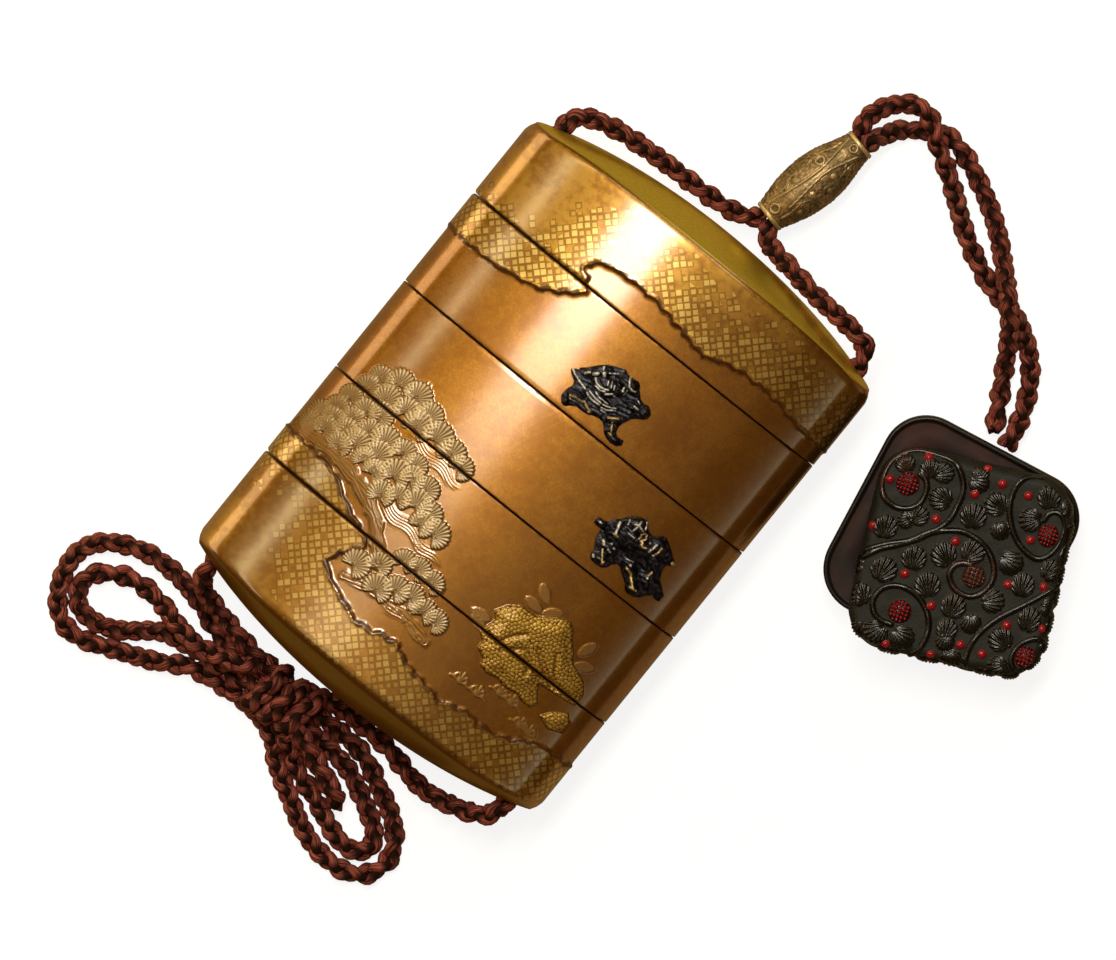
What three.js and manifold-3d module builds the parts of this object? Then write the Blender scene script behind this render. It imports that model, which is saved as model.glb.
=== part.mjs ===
// An inro: a Japanese tiered case of gold lacquer, worn from the sash on a silk cord.
// A domed lid, three cases and a domed base case stack on one another, each with an inner riser
// that the next one fits over. One silk cord runs up through a channel in each narrow side, is
// tied in a bow under the base, passes through a bead and ends in a two-part carved toggle.
// The case lies on its back. X is its width, +Y runs up to the lid, +Z is the decorated front.
// Millimetres. The origin is on the ground under the middle of the case.
import * as THREE from "three";
import { mergeVertices } from "three/addons/utils/BufferGeometryUtils.js";
import Module from "manifold-3d";

const wasm = await Module();
wasm.setup();

// ---- Driving dimensions of the case ----
const HALF_WIDTH = 31;
const HALF_DEPTH = 11.15;
const FACE_RADIUS = 75;
const FLAT_DEPTH = 0.3; // the back is worn flat by this much, so the case lies still
const MID_Z = HALF_DEPTH - FLAT_DEPTH;
const CROWN_Y = 43.35; // how far each domed end reaches
const DOME = { x: 41.8, y: 15, z: 16.7 }; // semi-axes of the ellipsoid that shapes an end
const SHOULDER_Y = 38.4; // where the dome meets the narrow side
const SHOULDER_RADIUS = 1.8;
const JOINTS = [25.07, 9.07, -6.57, -22.2]; // heights of the four joint lines, lid to base
const JOINT_GAP = 0.35;

// ---- Walls ----
const WALL = 1.8;
const RISER_THICK = 1.0;
const RISER_HEIGHT = 4.2;
const RISER_CLEARANCE = 0.2;
const RECESS_DEPTH = 4.7;
const FLOOR_THICK = 1.2;
const RECESS_HALF_WIDTH = 24.2;
const RECESS_CORNER = 2.5;
const LID_CEILING = 37.2;
const BASE_FLOOR = -37.2;
const CHANNEL_X = 27;
const CHANNEL_RADIUS = 1.65;

// ---- Relief ----
const MIST_HEIGHT = 0.25;
const PINE_RADIUS = 2.0;
const BRANCH_HEIGHT = 0.35;
const BRANCH_WIDTH = 1.1;
const ROCK_HEIGHT = 0.45;

// ---- Cord, bead and toggle ----
const CORD_RADIUS = 1.3;
const CORD_SIDES = 8;
const BEAD_START = [3.7, 48.4];
const BEAD_END = [7.5, 65.1];
const BEAD_Z = 4.2;
const BEAD_RADIUS = 3.75;
const BEAD_RIB = 0.35;
const BEAD_BORE = 2.05;
const TOGGLE = { half: 15.25, corner: 6.5 };
const BACK = { x: 53.5, y: 28.6, turn: 10.95, top: 6.4, rim: 0.35, rimWidth: 0.8, well: 8.2, floor: 1.6 };
const FRONT = { x: 56.4, y: 27.7, turn: 25.95, bottom: 6.7, top: 12.2, edge: 2.2 };

const degrees = THREE.MathUtils.degToRad;

// ---- Solids: closed geometry in, joined and cut with manifold-3d ----
function solid(geometry) {
  const bare = geometry.clone();
  bare.deleteAttribute("normal");
  bare.deleteAttribute("uv");
  const merged = mergeVertices(bare, 1e-4);
  return new wasm.Manifold(
    new wasm.Mesh({
      numProp: 3,
      vertProperties: merged.attributes.position.array,
      triVerts: new Uint32Array(merged.index.array),
    }),
  );
}

const join = (...parts) => parts.reduce((a, b) => a.add(b));
const cut = (first, ...tools) => tools.reduce((a, b) => a.subtract(b), first);
const meet = (...parts) => parts.reduce((a, b) => a.intersect(b));

function geometryOf(shape) {
  const mesh = shape.getMesh();
  const positions = new Float32Array(mesh.numVert * 3);
  for (let i = 0; i < mesh.numVert; i++) {
    positions.set(mesh.vertProperties.subarray(i * mesh.numProp, i * mesh.numProp + 3), i * 3);
  }
  const geometry = new THREE.BufferGeometry();
  geometry.setAttribute("position", new THREE.BufferAttribute(positions, 3));
  geometry.setIndex(new THREE.BufferAttribute(new Uint32Array(mesh.triVerts), 1));
  geometry.computeVertexNormals();
  return geometry;
}

const vectors = (pairs) => pairs.map(([x, y]) => new THREE.Vector2(x, y));

// An upright prism over an outline in X and Y.
function prismUp(outline, low, high) {
  const shape = new THREE.Shape(outline);
  const geometry = new THREE.ExtrudeGeometry(shape, { depth: high - low, bevelEnabled: false });
  return solid(geometry.translate(0, 0, low));
}

// A prism along Y over an outline in X and the height above the case's middle plane.
function prismAlong(outline, low, high) {
  const shape = new THREE.Shape(outline);
  const geometry = new THREE.ExtrudeGeometry(shape, { depth: high - low, bevelEnabled: false });
  geometry.rotateX(Math.PI / 2);
  return solid(geometry.translate(0, high, MID_Z));
}

function block(low, high) {
  const size = high.map((value, axis) => value - low[axis]);
  const middle = high.map((value, axis) => (value + low[axis]) / 2);
  return solid(new THREE.BoxGeometry(...size).translate(...middle));
}

function arc(centreX, centreY, radius, from, to, pieces) {
  const points = [];
  for (let i = 0; i <= pieces; i++) {
    const angle = from + ((to - from) * i) / pieces;
    points.push([centreX + radius * Math.cos(angle), centreY + radius * Math.sin(angle)]);
  }
  return points;
}

// ---- The case's section: two shallow arcs joined by rounded sides ----
// A corner arc inside a face arc touches it where the line through both centres meets them.
function section(halfWidth, halfDepth, faceRadius, corner, facePieces, cornerPieces) {
  const across = halfWidth - corner;
  const along = Math.sqrt((faceRadius - corner) ** 2 - across ** 2);
  const cornerZ = halfDepth - faceRadius + along;
  const tilt = Math.atan2(across, along);
  const quarter = arc(across, cornerZ, corner, 0, Math.PI / 2 - tilt, cornerPieces);
  const face = arc(0, halfDepth - faceRadius, faceRadius, Math.PI / 2 - tilt, Math.PI / 2, facePieces);
  const right = [...quarter, ...face.slice(1)];
  const left = right.slice(0, -1).reverse().map(([x, z]) => [-x, z]);
  const top = [...right, ...left];
  const roundSides = cornerZ < 1e-6;
  const bottom = top.slice(roundSides ? 1 : 0, roundSides ? -1 : undefined).reverse();
  return vectors([...top, ...bottom.map(([x, z]) => [x, -z])]);
}

// The corner radius that makes the narrow side one full round.
function roundSide(halfDepth) {
  const reach = FACE_RADIUS ** 2 - (FACE_RADIUS - halfDepth) ** 2 - HALF_WIDTH ** 2;
  return reach / (2 * (FACE_RADIUS - HALF_WIDTH));
}

const bodySection = (raise) =>
  section(HALF_WIDTH, HALF_DEPTH + raise, FACE_RADIUS, roundSide(HALF_DEPTH + raise), 5, 4);

const innerSection = (inset, sideInset) =>
  section(
    RECESS_HALF_WIDTH - sideInset,
    HALF_DEPTH - WALL - inset,
    FACE_RADIUS - WALL - inset,
    RECESS_CORNER - sideInset / 2,
    2,
    2,
  );

// Height of the front above the middle plane at x, and how far it leans there.
function frontHeight(x) {
  const corner = roundSide(HALF_DEPTH);
  const across = HALF_WIDTH - corner;
  const touch = (across * FACE_RADIUS) / (FACE_RADIUS - corner);
  if (Math.abs(x) < touch) return HALF_DEPTH - FACE_RADIUS + Math.sqrt(FACE_RADIUS ** 2 - x ** 2);
  return Math.sqrt(Math.max(0, corner ** 2 - (Math.abs(x) - across) ** 2));
}

const frontLean = (x) => Math.atan2(frontHeight(x - 0.2) - frontHeight(x + 0.2), 0.4);

// ---- Relief on the front ----
// Edges of the two mist bands, left to right.
const UPPER_MIST = [
  [-31.5, 19.1], [-22.6, 19.1], [-15.4, 20.5], [-11.9, 22.4], [-9.7, 24.2], [-11.9, 27.1],
  [-11.2, 28.3], [-9.7, 29.1], [-6.1, 29.6], [-1.1, 29.5], [5.3, 28.4], [8.9, 27.8],
  [13.1, 29.1], [20.3, 29.2], [24.6, 28.4], [31.5, 27.4],
];
const LOWER_MIST = [
  [-31.5, -17.5], [-21.1, -18.4], [-14, -21.9], [-11.4, -23.4], [-14.4, -28.4], [-9.7, -31.2],
  [-5.7, -32.6], [0.6, -31.5], [3.1, -32.6], [8.1, -33.6], [11, -34.1], [13.1, -33.1],
  [18.9, -33.1], [21.7, -32.2], [24.6, -30.5], [31.5, -30.2],
];
const BRANCHES = [
  [[-29.7, -16.4], [-22, -16.6], [-15.4, -17.8], [-11, -20.6], [-8.6, -24]],
  [[-9.6, -29.2], [-3.5, -28.4], [3, -27], [8, -28]],
];
const ROCK = [
  [8.6, -21.6], [8.9, -19.1], [9.8, -17.6], [11.7, -17.2], [13.1, -16.2], [15.3, -14.1],
  [18.1, -13.6], [19.6, -15.5], [21.7, -17.6], [24.6, -18.8], [26, -20.8], [25.3, -22.6],
  [22.4, -23.2], [21, -25.5], [18.9, -26.2], [17.4, -24.8], [15.3, -25.5], [13.1, -26.5],
  [10.3, -24.1],
];
const ROCK_CREST = [
  [11.2, -21.2], [13.2, -18.6], [16, -16.4], [18.2, -17.8], [21.6, -20.4], [20.4, -21.6],
  [17.6, -20], [15.2, -20.6], [13.4, -22.8],
];
// Rows of pine fans: height of the row, its two ends, and how many fans it holds.
const PINE_ROWS = [
  [-2.4, -24.2, -20.2, 2], [-5.0, -26.2, -9.6, 5], [-8.7, -27.2, -11.4, 4], [-11.5, -28.2, -12.2, 4],
  [-14.3, -27.9, -4.2, 6], [-20.6, -6.8, -1.2, 2], [-24.4, -9.2, 3.4, 4], [-27.1, -7.0, 0.4, 2],
];

// A fan of needles or of leaf flutes: a root and a rim of pointed lobes, tilted up to the rim.
function flutedFan(radius, lobes, thick, tilt) {
  const outline = [[0, -0.6 * radius]];
  for (let i = 0; i <= 2 * lobes; i++) {
    const angle = degrees(-25 + (230 * i) / (2 * lobes));
    const reach = i % 2 ? radius : 0.84 * radius;
    outline.push([reach * Math.cos(angle), reach * Math.sin(angle)]);
  }
  const shape = new THREE.Shape(vectors(outline));
  const geometry = new THREE.ExtrudeGeometry(shape, { depth: thick, bevelEnabled: false });
  return geometry.translate(0, 0, -thick).rotateX(degrees(tilt));
}

function pineFans() {
  const fans = [];
  for (const [y, from, to, count] of PINE_ROWS) {
    for (let i = 0; i < count; i++) {
      const x = from + ((to - from) * i) / (count - 1);
      const heading = degrees(14 * Math.sin(3.1 * x + y));
      const fan = flutedFan(PINE_RADIUS, 3, 0.8, 9);
      fan.rotateZ(heading).rotateY(frontLean(x));
      fans.push(solid(fan.translate(x, y, MID_Z + frontHeight(x) + 0.25)));
    }
  }
  return join(...fans);
}

// A strip of even width along a line, as an outline.
function strip(line, width) {
  const sides = [[], []];
  line.forEach(([x, y], i) => {
    const [ax, ay] = line[Math.max(0, i - 1)];
    const [bx, by] = line[Math.min(line.length - 1, i + 1)];
    const length = Math.hypot(bx - ax, by - ay);
    const offX = (-(by - ay) / length) * (width / 2);
    const offY = ((bx - ax) / length) * (width / 2);
    sides[0].push([x - offX, y - offY]);
    sides[1].unshift([x + offX, y + offY]);
  });
  return vectors([...sides[0], ...sides[1]]);
}

const relief = (outline, raise) =>
  meet(prismAlong(bodySection(raise), -60, 60), prismUp(outline, MID_Z, 40));

// ---- The closed body, with its relief, before it is parted into lid and cases ----
// Room for the body under one dome: its ellipsoid, and a block that lets everything below it through.
function domeEnd(side) {
  const ellipsoid = new THREE.SphereGeometry(1, 24, 16).scale(DOME.x, DOME.y, DOME.z);
  const end = solid(ellipsoid.translate(0, side * (CROWN_Y - DOME.y), MID_Z));
  const rest = side > 0 ? block([-60, -90, -30], [60, 33, 60]) : block([-60, -33, -30], [60, 90, 60]);
  return join(end, rest);
}

function shoulders() {
  const lean = Math.atan((DOME.y ** 2 * HALF_WIDTH) / (DOME.x ** 2 * (SHOULDER_Y - CROWN_Y + DOME.y)));
  const turn = Math.PI / 2 - lean;
  const tangent = SHOULDER_RADIUS * Math.tan(turn / 2);
  const corner = arc(HALF_WIDTH - SHOULDER_RADIUS, SHOULDER_Y - tangent, SHOULDER_RADIUS, 0, turn, 3);
  const peak = SHOULDER_Y + HALF_WIDTH * Math.tan(lean);
  const upper = [...corner, [0, peak], ...corner.slice().reverse().map(([x, y]) => [-x, y])];
  const lower = upper.slice().reverse().map(([x, y]) => [x, -y]);
  return prismUp(vectors([...upper, ...lower]), -30, 60);
}

function closedBody() {
  const plain = prismAlong(bodySection(0), -60, 60);
  const upper = prismUp(vectors([...UPPER_MIST, [31.5, 60], [-31.5, 60]]), -30, 60);
  const lower = prismUp(vectors([[-31.5, -60], [31.5, -60], ...LOWER_MIST.slice().reverse()]), -30, 60);
  const mist = meet(prismAlong(bodySection(MIST_HEIGHT), -60, 60), join(upper, lower));
  const branches = BRANCHES.map((line) => relief(strip(line, BRANCH_WIDTH), BRANCH_HEIGHT));
  const rock = relief(vectors(ROCK), ROCK_HEIGHT);
  const crest = relief(vectors(ROCK_CREST), 2 * ROCK_HEIGHT);
  const carved = join(plain, mist, ...branches, rock, crest, pineFans());
  return meet(carved, domeEnd(1), domeEnd(-1), shoulders(), block([-60, -60, 0], [60, 60, 60]));
}

function channels() {
  const bore = (side) => {
    const cylinder = new THREE.CylinderGeometry(CHANNEL_RADIUS, CHANNEL_RADIUS, 120, 8);
    return solid(cylinder.translate(side * CHANNEL_X, 0, MID_Z));
  };
  return join(bore(-1), bore(1));
}

// One tier: the body between two joints, its riser, the recess for the riser below, its hollow.
function tier(body, low, high, { floorLow, floorHigh, riser }) {
  let piece = meet(body, block([-60, low, -30], [60, high, 60]));
  if (riser) {
    const outside = innerSection(RISER_CLEARANCE, RISER_CLEARANCE);
    piece = join(piece, prismAlong(outside, high - 2, high + RISER_HEIGHT));
    const hollow = innerSection(RISER_CLEARANCE + RISER_THICK, RISER_CLEARANCE + RISER_THICK);
    piece = cut(piece, prismAlong(hollow, floorHigh, high + RISER_HEIGHT + 1));
  }
  if (floorLow > low) piece = cut(piece, prismAlong(innerSection(0, 0), low - 1, floorLow));
  return cut(piece, channels());
}

// ---- Metal figures on the front: crouching and armoured, each in its own plane ----
function ball(x, y, z, halfX, halfY, halfZ, turn = 0) {
  const sphere = new THREE.SphereGeometry(1, 6, 4).rotateX(Math.PI / 2);
  return sphere.scale(halfX, halfY, halfZ).rotateZ(degrees(turn)).translate(x, y, z);
}

const plate = (x, y, z, length, width, height, turn) =>
  new THREE.BoxGeometry(length, width, height).rotateZ(degrees(turn)).translate(x, y, z);

function limb(x1, y1, x2, y2, radius) {
  const length = Math.hypot(x2 - x1, y2 - y1) + radius;
  const turn = Math.atan2(y2 - y1, x2 - x1) - Math.PI / 2;
  const geometry = new THREE.CylinderGeometry(0.8 * radius, radius, length, 5);
  return geometry.rotateZ(turn).translate((x1 + x2) / 2, (y1 + y2) / 2, 0.45);
}

const UPPER_FIGURE = [
  ball(-0.3, 0.4, 0.5, 3.4, 2.7, 1.1, -12), // body armour
  ball(-0.2, 3.0, 0.7, 1.9, 1.6, 1.0), // helmet
  plate(-0.2, 2.2, 0.9, 4.6, 0.7, 0.8, -8), // neck guard
  plate(-2.6, 1.2, 0.8, 1.8, 2.4, 1.0, 20), // shoulder plate
  limb(-2.0, -0.6, -5.6, -0.9, 0.75), // near arm
  limb(1.8, 1.4, 5.4, 1.0, 0.75), // far arm
  plate(5.7, 1.5, 0.5, 1.5, 1.9, 0.9, 15), // fan in the far hand
  limb(-1.4, -1.2, -3.8, -2.4, 1.1), // near thigh
  limb(-3.8, -2.4, -3.0, -4.2, 0.85), // near shin
  limb(1.0, -1.2, 3.2, -2.4, 1.1), // far thigh
  limb(3.2, -2.4, 5.2, -4.2, 0.8), // far shin
];
const LOWER_FIGURE = [
  ball(0.2, 0.2, 0.5, 3.7, 2.4, 1.1, -8),
  ball(-1.4, 2.8, 0.7, 1.8, 1.5, 1.0, 12),
  plate(-1.4, 2.0, 0.9, 4.2, 0.7, 0.8, 10),
  plate(3.6, 2.2, 0.7, 4.2, 1.9, 1.0, -22), // quiver on the back
  limb(-2.0, 0.4, -6.2, 0.7, 0.7),
  plate(0.4, -0.4, 1.2, 5.6, 0.7, 0.9, -14), // sword
  limb(-1.0, -1.2, -3.8, -2.4, 1.1),
  limb(-3.8, -2.4, -3.2, -4.0, 0.85),
  limb(0.8, -1.2, 2.2, -3.8, 1.1),
  limb(1.6, -0.4, 6.0, -2.6, 1.1), // skirt of the armour
];

function metalFigure(parts, x, y) {
  const turn = new THREE.Matrix4().makeRotationY(frontLean(x));
  const place = new THREE.Matrix4().makeTranslation(x, y, MID_Z + frontHeight(x));
  const figure = join(...parts.map(solid)).transform(place.multiply(turn).toArray());
  return cut(figure, prismAlong(bodySection(0.06), -60, 60));
}

// ---- Tubes: a straight prism with one ring at each station, bent along the route ----
function tube(stations, radii, sides) {
  const ring = new THREE.Shape(vectors(arc(0, 0, 1, 0, 2 * Math.PI, sides).slice(0, -1)));
  const steps = stations.length - 1;
  const geometry = new THREE.ExtrudeGeometry(ring, { depth: steps, steps, bevelEnabled: false });
  const normal = new THREE.Vector3(0, 0, 1);
  const frames = stations.map((centre, i) => {
    const ahead = stations[Math.min(steps, i + 1)];
    const behind = stations[Math.max(0, i - 1)];
    const along = ahead.clone().sub(behind).normalize();
    normal.addScaledVector(along, -normal.dot(along)).normalize();
    return { centre, radius: radii[i], across: normal.clone(), beside: along.clone().cross(normal) };
  });
  const position = geometry.attributes.position;
  for (let i = 0; i < position.count; i++) {
    const frame = frames[Math.round(position.getZ(i))];
    const point = frame.centre.clone();
    point.addScaledVector(frame.across, position.getX(i) * frame.radius);
    point.addScaledVector(frame.beside, position.getY(i) * frame.radius);
    position.setXYZ(i, point.x, point.y, point.z);
  }
  return solid(geometry);
}

// A cord made of stretches that share their end points: [route, steps, radius].
function cord(...stretches) {
  const stations = [];
  const radii = [];
  for (const [route, steps, radius] of stretches) {
    const curve = new THREE.CatmullRomCurve3(route.map((point) => new THREE.Vector3(...point)));
    curve.getSpacedPoints(steps).forEach((point, i) => {
      if (i || !stations.length) {
        stations.push(point);
        radii.push(radius);
      }
    });
  }
  return tube(stations, radii, CORD_SIDES);
}

// ---- Cord routes: from the knot up a channel, over the dome, through the bead, to the toggle ----
const LIE_Z = CORD_RADIUS + 0.05;
const LEFT_FOOT = [
  [-20.4, -45.3, 5.4], [-22.6, -44.7, 5.9], [-24.9, -44.0, 7.2], [-26.5, -42.8, 9.2], [-27, -41, MID_Z],
];
const RIGHT_FOOT = [
  [1.2, -44.9, 2.0], [5.5, -44.95, 2.0], [9.6, -45.2, 2.0], [13.2, -46.1, 2.3], [17.1, -46.5, 3.2],
  [21.1, -45.7, 5.0], [24.2, -44.5, 7.2], [26.3, -43.0, 9.3], [27, -41, MID_Z],
];
const LEFT_SHOULDER = [
  [-27, 41, MID_Z], [-26.2, 42.8, 10.6], [-23.6, 44.1, 9.9], [-19.8, 44.9, 8.8], [-15.7, 45.2, 7.8],
  [-11.4, 45.4, 6.8], [-6.8, 45.5, 5.7], [-2.7, 45.7, 4.7], [0.4, 46.3, 4.2], [2.2, 47.2, 4.2],
];
const RIGHT_SHOULDER = [
  [27, 41, MID_Z], [26.2, 42.8, 11.2], [23.8, 43.6, 12.2], [21.0, 43.9, 12.9], [17.8, 44.1, 12.9],
  [14.4, 44.4, 12.1], [11.2, 44.9, 10.4], [8.4, 45.2, 8.2], [6.2, 45.7, 6.2], [5.0, 46.7, 4.8],
];
const LEFT_BORE = [[2.9, 48.7, BEAD_Z], [6.9, 64.9, BEAD_Z]];
const RIGHT_BORE = [[4.5, 48.3, BEAD_Z], [8.4, 64.6, BEAD_Z]];
// The strand that leaves the bead on its outer side crosses over the other one, then under it.
const OVER_STRAND = [
  [6.0, 67.0, BEAD_Z], [6.1, 69.6, 4.4], [7.4, 72.0, 4.6], [9.3, 73.8, 4.8], [11.8, 74.4, 4.8],
  [14.4, 73.1, 4.5], [17.1, 71.2, 3.0], [19.9, 69.5, 1.7], [23.2, 67.2, LIE_Z], [25.6, 65.4, LIE_Z],
  [28.4, 63.6, LIE_Z], [31.0, 62.3, LIE_Z], [33.9, 61.0, LIE_Z], [37.1, 60.2, LIE_Z],
  [40.6, 59.4, LIE_Z], [43.3, 58.0, LIE_Z], [45.9, 55.9, LIE_Z], [48.0, 53.2, LIE_Z], [49.4, 50.2, 1.6],
  [50.4, 47.4, 2.4], [50.9, 44.4, 3.0],
];
const UNDER_STRAND = [
  [8.5, 66.2, BEAD_Z], [9.4, 68.2, 2.8], [10.6, 70.0, 1.7], [12.4, 71.4, LIE_Z], [14.6, 73.1, LIE_Z],
  [17.3, 73.6, LIE_Z], [20.7, 72.8, LIE_Z], [24.5, 71.1, LIE_Z], [28.5, 68.9, LIE_Z], [31.9, 66.4, 1.6],
  [34.8, 63.8, 3.0], [37.6, 61.2, 4.3], [40.0, 58.6, 4.2], [42.0, 55.8, 2.8], [43.7, 52.8, 1.6],
  [45.3, 50.0, 1.6], [46.9, 47.2, 2.4], [48.1, 44.9, 3.0],
];
const LEFT_OUTER_LOOP = [
  [-20.6, -47.6, 1.6], [-24.3, -46.1, LIE_Z], [-27.1, -45.4, LIE_Z], [-30, -44.9, LIE_Z],
  [-32.8, -44.8, LIE_Z], [-35.7, -45.2, LIE_Z], [-38.5, -46.2, LIE_Z], [-40.9, -47.6, LIE_Z],
  [-42.7, -49.8, LIE_Z], [-43.3, -52.2, LIE_Z], [-42.9, -54.8, LIE_Z], [-41.6, -57.8, LIE_Z],
  [-39.3, -60.2, LIE_Z], [-36.4, -60.9, LIE_Z], [-33.5, -60.2, LIE_Z], [-30.7, -59.0, LIE_Z],
  [-27.1, -57.6, LIE_Z], [-23.5, -55.9, LIE_Z], [-20.4, -54.0, 1.6],
];
const LEFT_INNER_LOOP = [
  [-20.6, -50.6, 4.6], [-23.5, -50.6, 4.4], [-26, -50.2, 3.4], [-28.5, -49.6, 1.9],
  [-31.4, -49.2, LIE_Z], [-34.3, -49.3, LIE_Z], [-36.8, -50.2, LIE_Z], [-38.8, -51.6, LIE_Z],
  [-39.9, -53.2, LIE_Z], [-39.9, -55.1, LIE_Z], [-38.9, -56.7, LIE_Z], [-37.1, -57.6, LIE_Z],
  [-34.5, -57.5, LIE_Z], [-32.3, -56.7, LIE_Z], [-30.2, -55.4, LIE_Z], [-28.2, -53.7, LIE_Z],
  [-26, -52.4, LIE_Z], [-23.3, -51.9, LIE_Z], [-20.6, -51.4, LIE_Z],
];
const RIGHT_OUTER_LOOP = [
  [1.2, -47.8, LIE_Z], [5.5, -47.9, LIE_Z], [8.6, -48.8, LIE_Z], [11.6, -50.4, LIE_Z],
  [15.2, -52.2, LIE_Z], [18.1, -54.8, LIE_Z], [19.3, -57.9, LIE_Z], [18.4, -60.9, LIE_Z],
  [16.0, -62.7, LIE_Z], [12.6, -63.2, LIE_Z], [9.1, -62.7, LIE_Z], [5.5, -61.3, LIE_Z],
  [3.3, -60.0, LIE_Z], [-0.2, -58.1, LIE_Z], [-2.8, -56.3, LIE_Z], [-4.6, -54.6, LIE_Z],
];
const RIGHT_INNER_LOOP = [
  [1.2, -50.6, LIE_Z], [3.8, -50.7, LIE_Z], [6.8, -51.3, LIE_Z], [10.1, -52.8, LIE_Z],
  [13.1, -54.4, LIE_Z], [15.4, -56.1, LIE_Z], [16.1, -58.2, LIE_Z], [14.8, -59.7, LIE_Z],
  [12.2, -60.0, LIE_Z], [9.3, -59.1, LIE_Z], [6.2, -57.7, LIE_Z], [3.3, -56.7, LIE_Z],
  [0.9, -55.8, LIE_Z], [-0.7, -54.6, 1.6],
];
// A short fold tucked inside the right loops, one leg lying on the other.
const TUCKED_FOLD = [
  [2.3, -53.0, 4.4], [3.9, -53.7, 4.3], [5.8, -54.5, 4.2], [7.5, -55.2, 3.8], [8.3, -55.6, 2.8],
  [7.5, -55.3, 1.75], [5.8, -54.5, LIE_Z], [3.9, -53.8, LIE_Z], [2.4, -53.3, LIE_Z],
];

// The knot: a bundle of strands along X with three turns bound round it, flat underneath.
const KNOT = { left: -19.9, right: 0.7, y: -48.9, z: 3.6, radius: 4.1 };
const BINDING = { turns: [-9.8, -6.4, -3.0], rise: 0.8, reach: 1.1 };

function bowKnot() {
  const length = KNOT.right - KNOT.left;
  const pieces = 12;
  const profile = [[0, 0]];
  for (let i = 0; i <= pieces; i++) {
    const x = KNOT.left + (length * i) / pieces;
    const taper = Math.sin(Math.PI * (0.16 + (0.68 * i) / pieces)) ** 0.5;
    const swell = BINDING.turns.map((turn) => Math.exp(-(((x - turn) / BINDING.reach) ** 2)));
    const bound = BINDING.rise * swell.reduce((sum, value) => sum + value, 0);
    profile.push([KNOT.radius * taper + bound, (length * i) / pieces]);
  }
  profile.push([0, length]);
  const lathe = new THREE.LatheGeometry(vectors(profile), 9);
  lathe.scale(1, 1, 0.92).rotateZ(-Math.PI / 2);
  const bundle = solid(lathe.translate(KNOT.left, KNOT.y, KNOT.z));
  return meet(bundle, block([-60, -90, 0.05], [60, 0, 60]));
}

// ---- Bead: a spindle with collars at its ends and ribs that wind round it ----
function bead() {
  const length = Math.hypot(BEAD_END[0] - BEAD_START[0], BEAD_END[1] - BEAD_START[1]);
  const pieces = 8;
  const profile = [[0, 0]];
  for (let i = 0; i <= pieces; i++) {
    const t = i / pieces;
    const collar = i === 0 || i === pieces ? 0.15 : 0;
    profile.push([2.5 + (BEAD_RADIUS - 2.5) * Math.sin(Math.PI * t) + collar, length * t]);
  }
  profile.push([0, length]);
  const spindle = new THREE.LatheGeometry(vectors(profile), 12);
  const position = spindle.attributes.position;
  for (let i = 0; i < position.count; i++) {
    const [x, y, z] = [position.getX(i), position.getY(i), position.getZ(i)];
    const radius = Math.hypot(x, z);
    if (radius < 1) continue;
    const angle = Math.atan2(z, x);
    const rise = Math.sin((Math.PI * y) / length);
    const rib = BEAD_RIB * rise * Math.cos(4 * angle + 5 * (y / length));
    position.setX(i, (x * (radius + rib)) / radius);
    position.setZ(i, (z * (radius + rib)) / radius);
  }
  const bore = new THREE.CylinderGeometry(BEAD_BORE, BEAD_BORE, 2 * length, 10);
  const heading = Math.atan2(BEAD_END[1] - BEAD_START[1], BEAD_END[0] - BEAD_START[0]) - Math.PI / 2;
  const place = new THREE.Matrix4().makeTranslation(BEAD_START[0], BEAD_START[1], BEAD_Z);
  place.multiply(new THREE.Matrix4().makeRotationZ(heading));
  return cut(solid(spindle), solid(bore)).transform(place.toArray());
}

// ---- Toggle: two equal halves of rounded square outline, the front one turned on the back one ----
function roundedSquare(half, corner, pieces) {
  const points = [];
  for (let i = 0; i < 4; i++) {
    const start = (Math.PI / 2) * i;
    const middle = start + Math.PI / 4;
    const away = (half - corner) * Math.SQRT2;
    const [x, y] = [away * Math.cos(middle), away * Math.sin(middle)];
    points.push(...arc(x, y, corner, start, start + Math.PI / 2, pieces));
  }
  return vectors(points);
}

// A rounded-square block whose edges are rounded at both ends; one end is then cut away.
function softBlock(low, high, edge, pieces) {
  const outline = new THREE.Shape(roundedSquare(TOGGLE.half, TOGGLE.corner, 4));
  const geometry = new THREE.ExtrudeGeometry(outline, {
    depth: high - low - 2 * edge,
    bevelThickness: edge,
    bevelSize: edge,
    bevelOffset: -edge,
    bevelSegments: pieces,
  });
  return solid(geometry.translate(0, 0, low + edge));
}

const placed = (shape, { x, y, turn }) => {
  const place = new THREE.Matrix4().makeTranslation(x, y, 0);
  return shape.transform(place.multiply(new THREE.Matrix4().makeRotationZ(degrees(turn))).toArray());
};

function toggleBack() {
  const body = meet(softBlock(0, BACK.top + 4, 1.2, 2), block([-30, -30, 0], [30, 30, BACK.top]));
  const inside = TOGGLE.half - BACK.rimWidth;
  const step = prismUp(roundedSquare(inside, TOGGLE.corner - BACK.rimWidth, 4), BACK.top - BACK.rim, 20);
  const well = prismUp(roundedSquare(BACK.well, 3, 2), BACK.floor, 20);
  const hole = block([-3.6, 5, 1.5], [3.6, 30, 4.9]);
  return placed(cut(body, step, well, hole), BACK);
}

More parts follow.
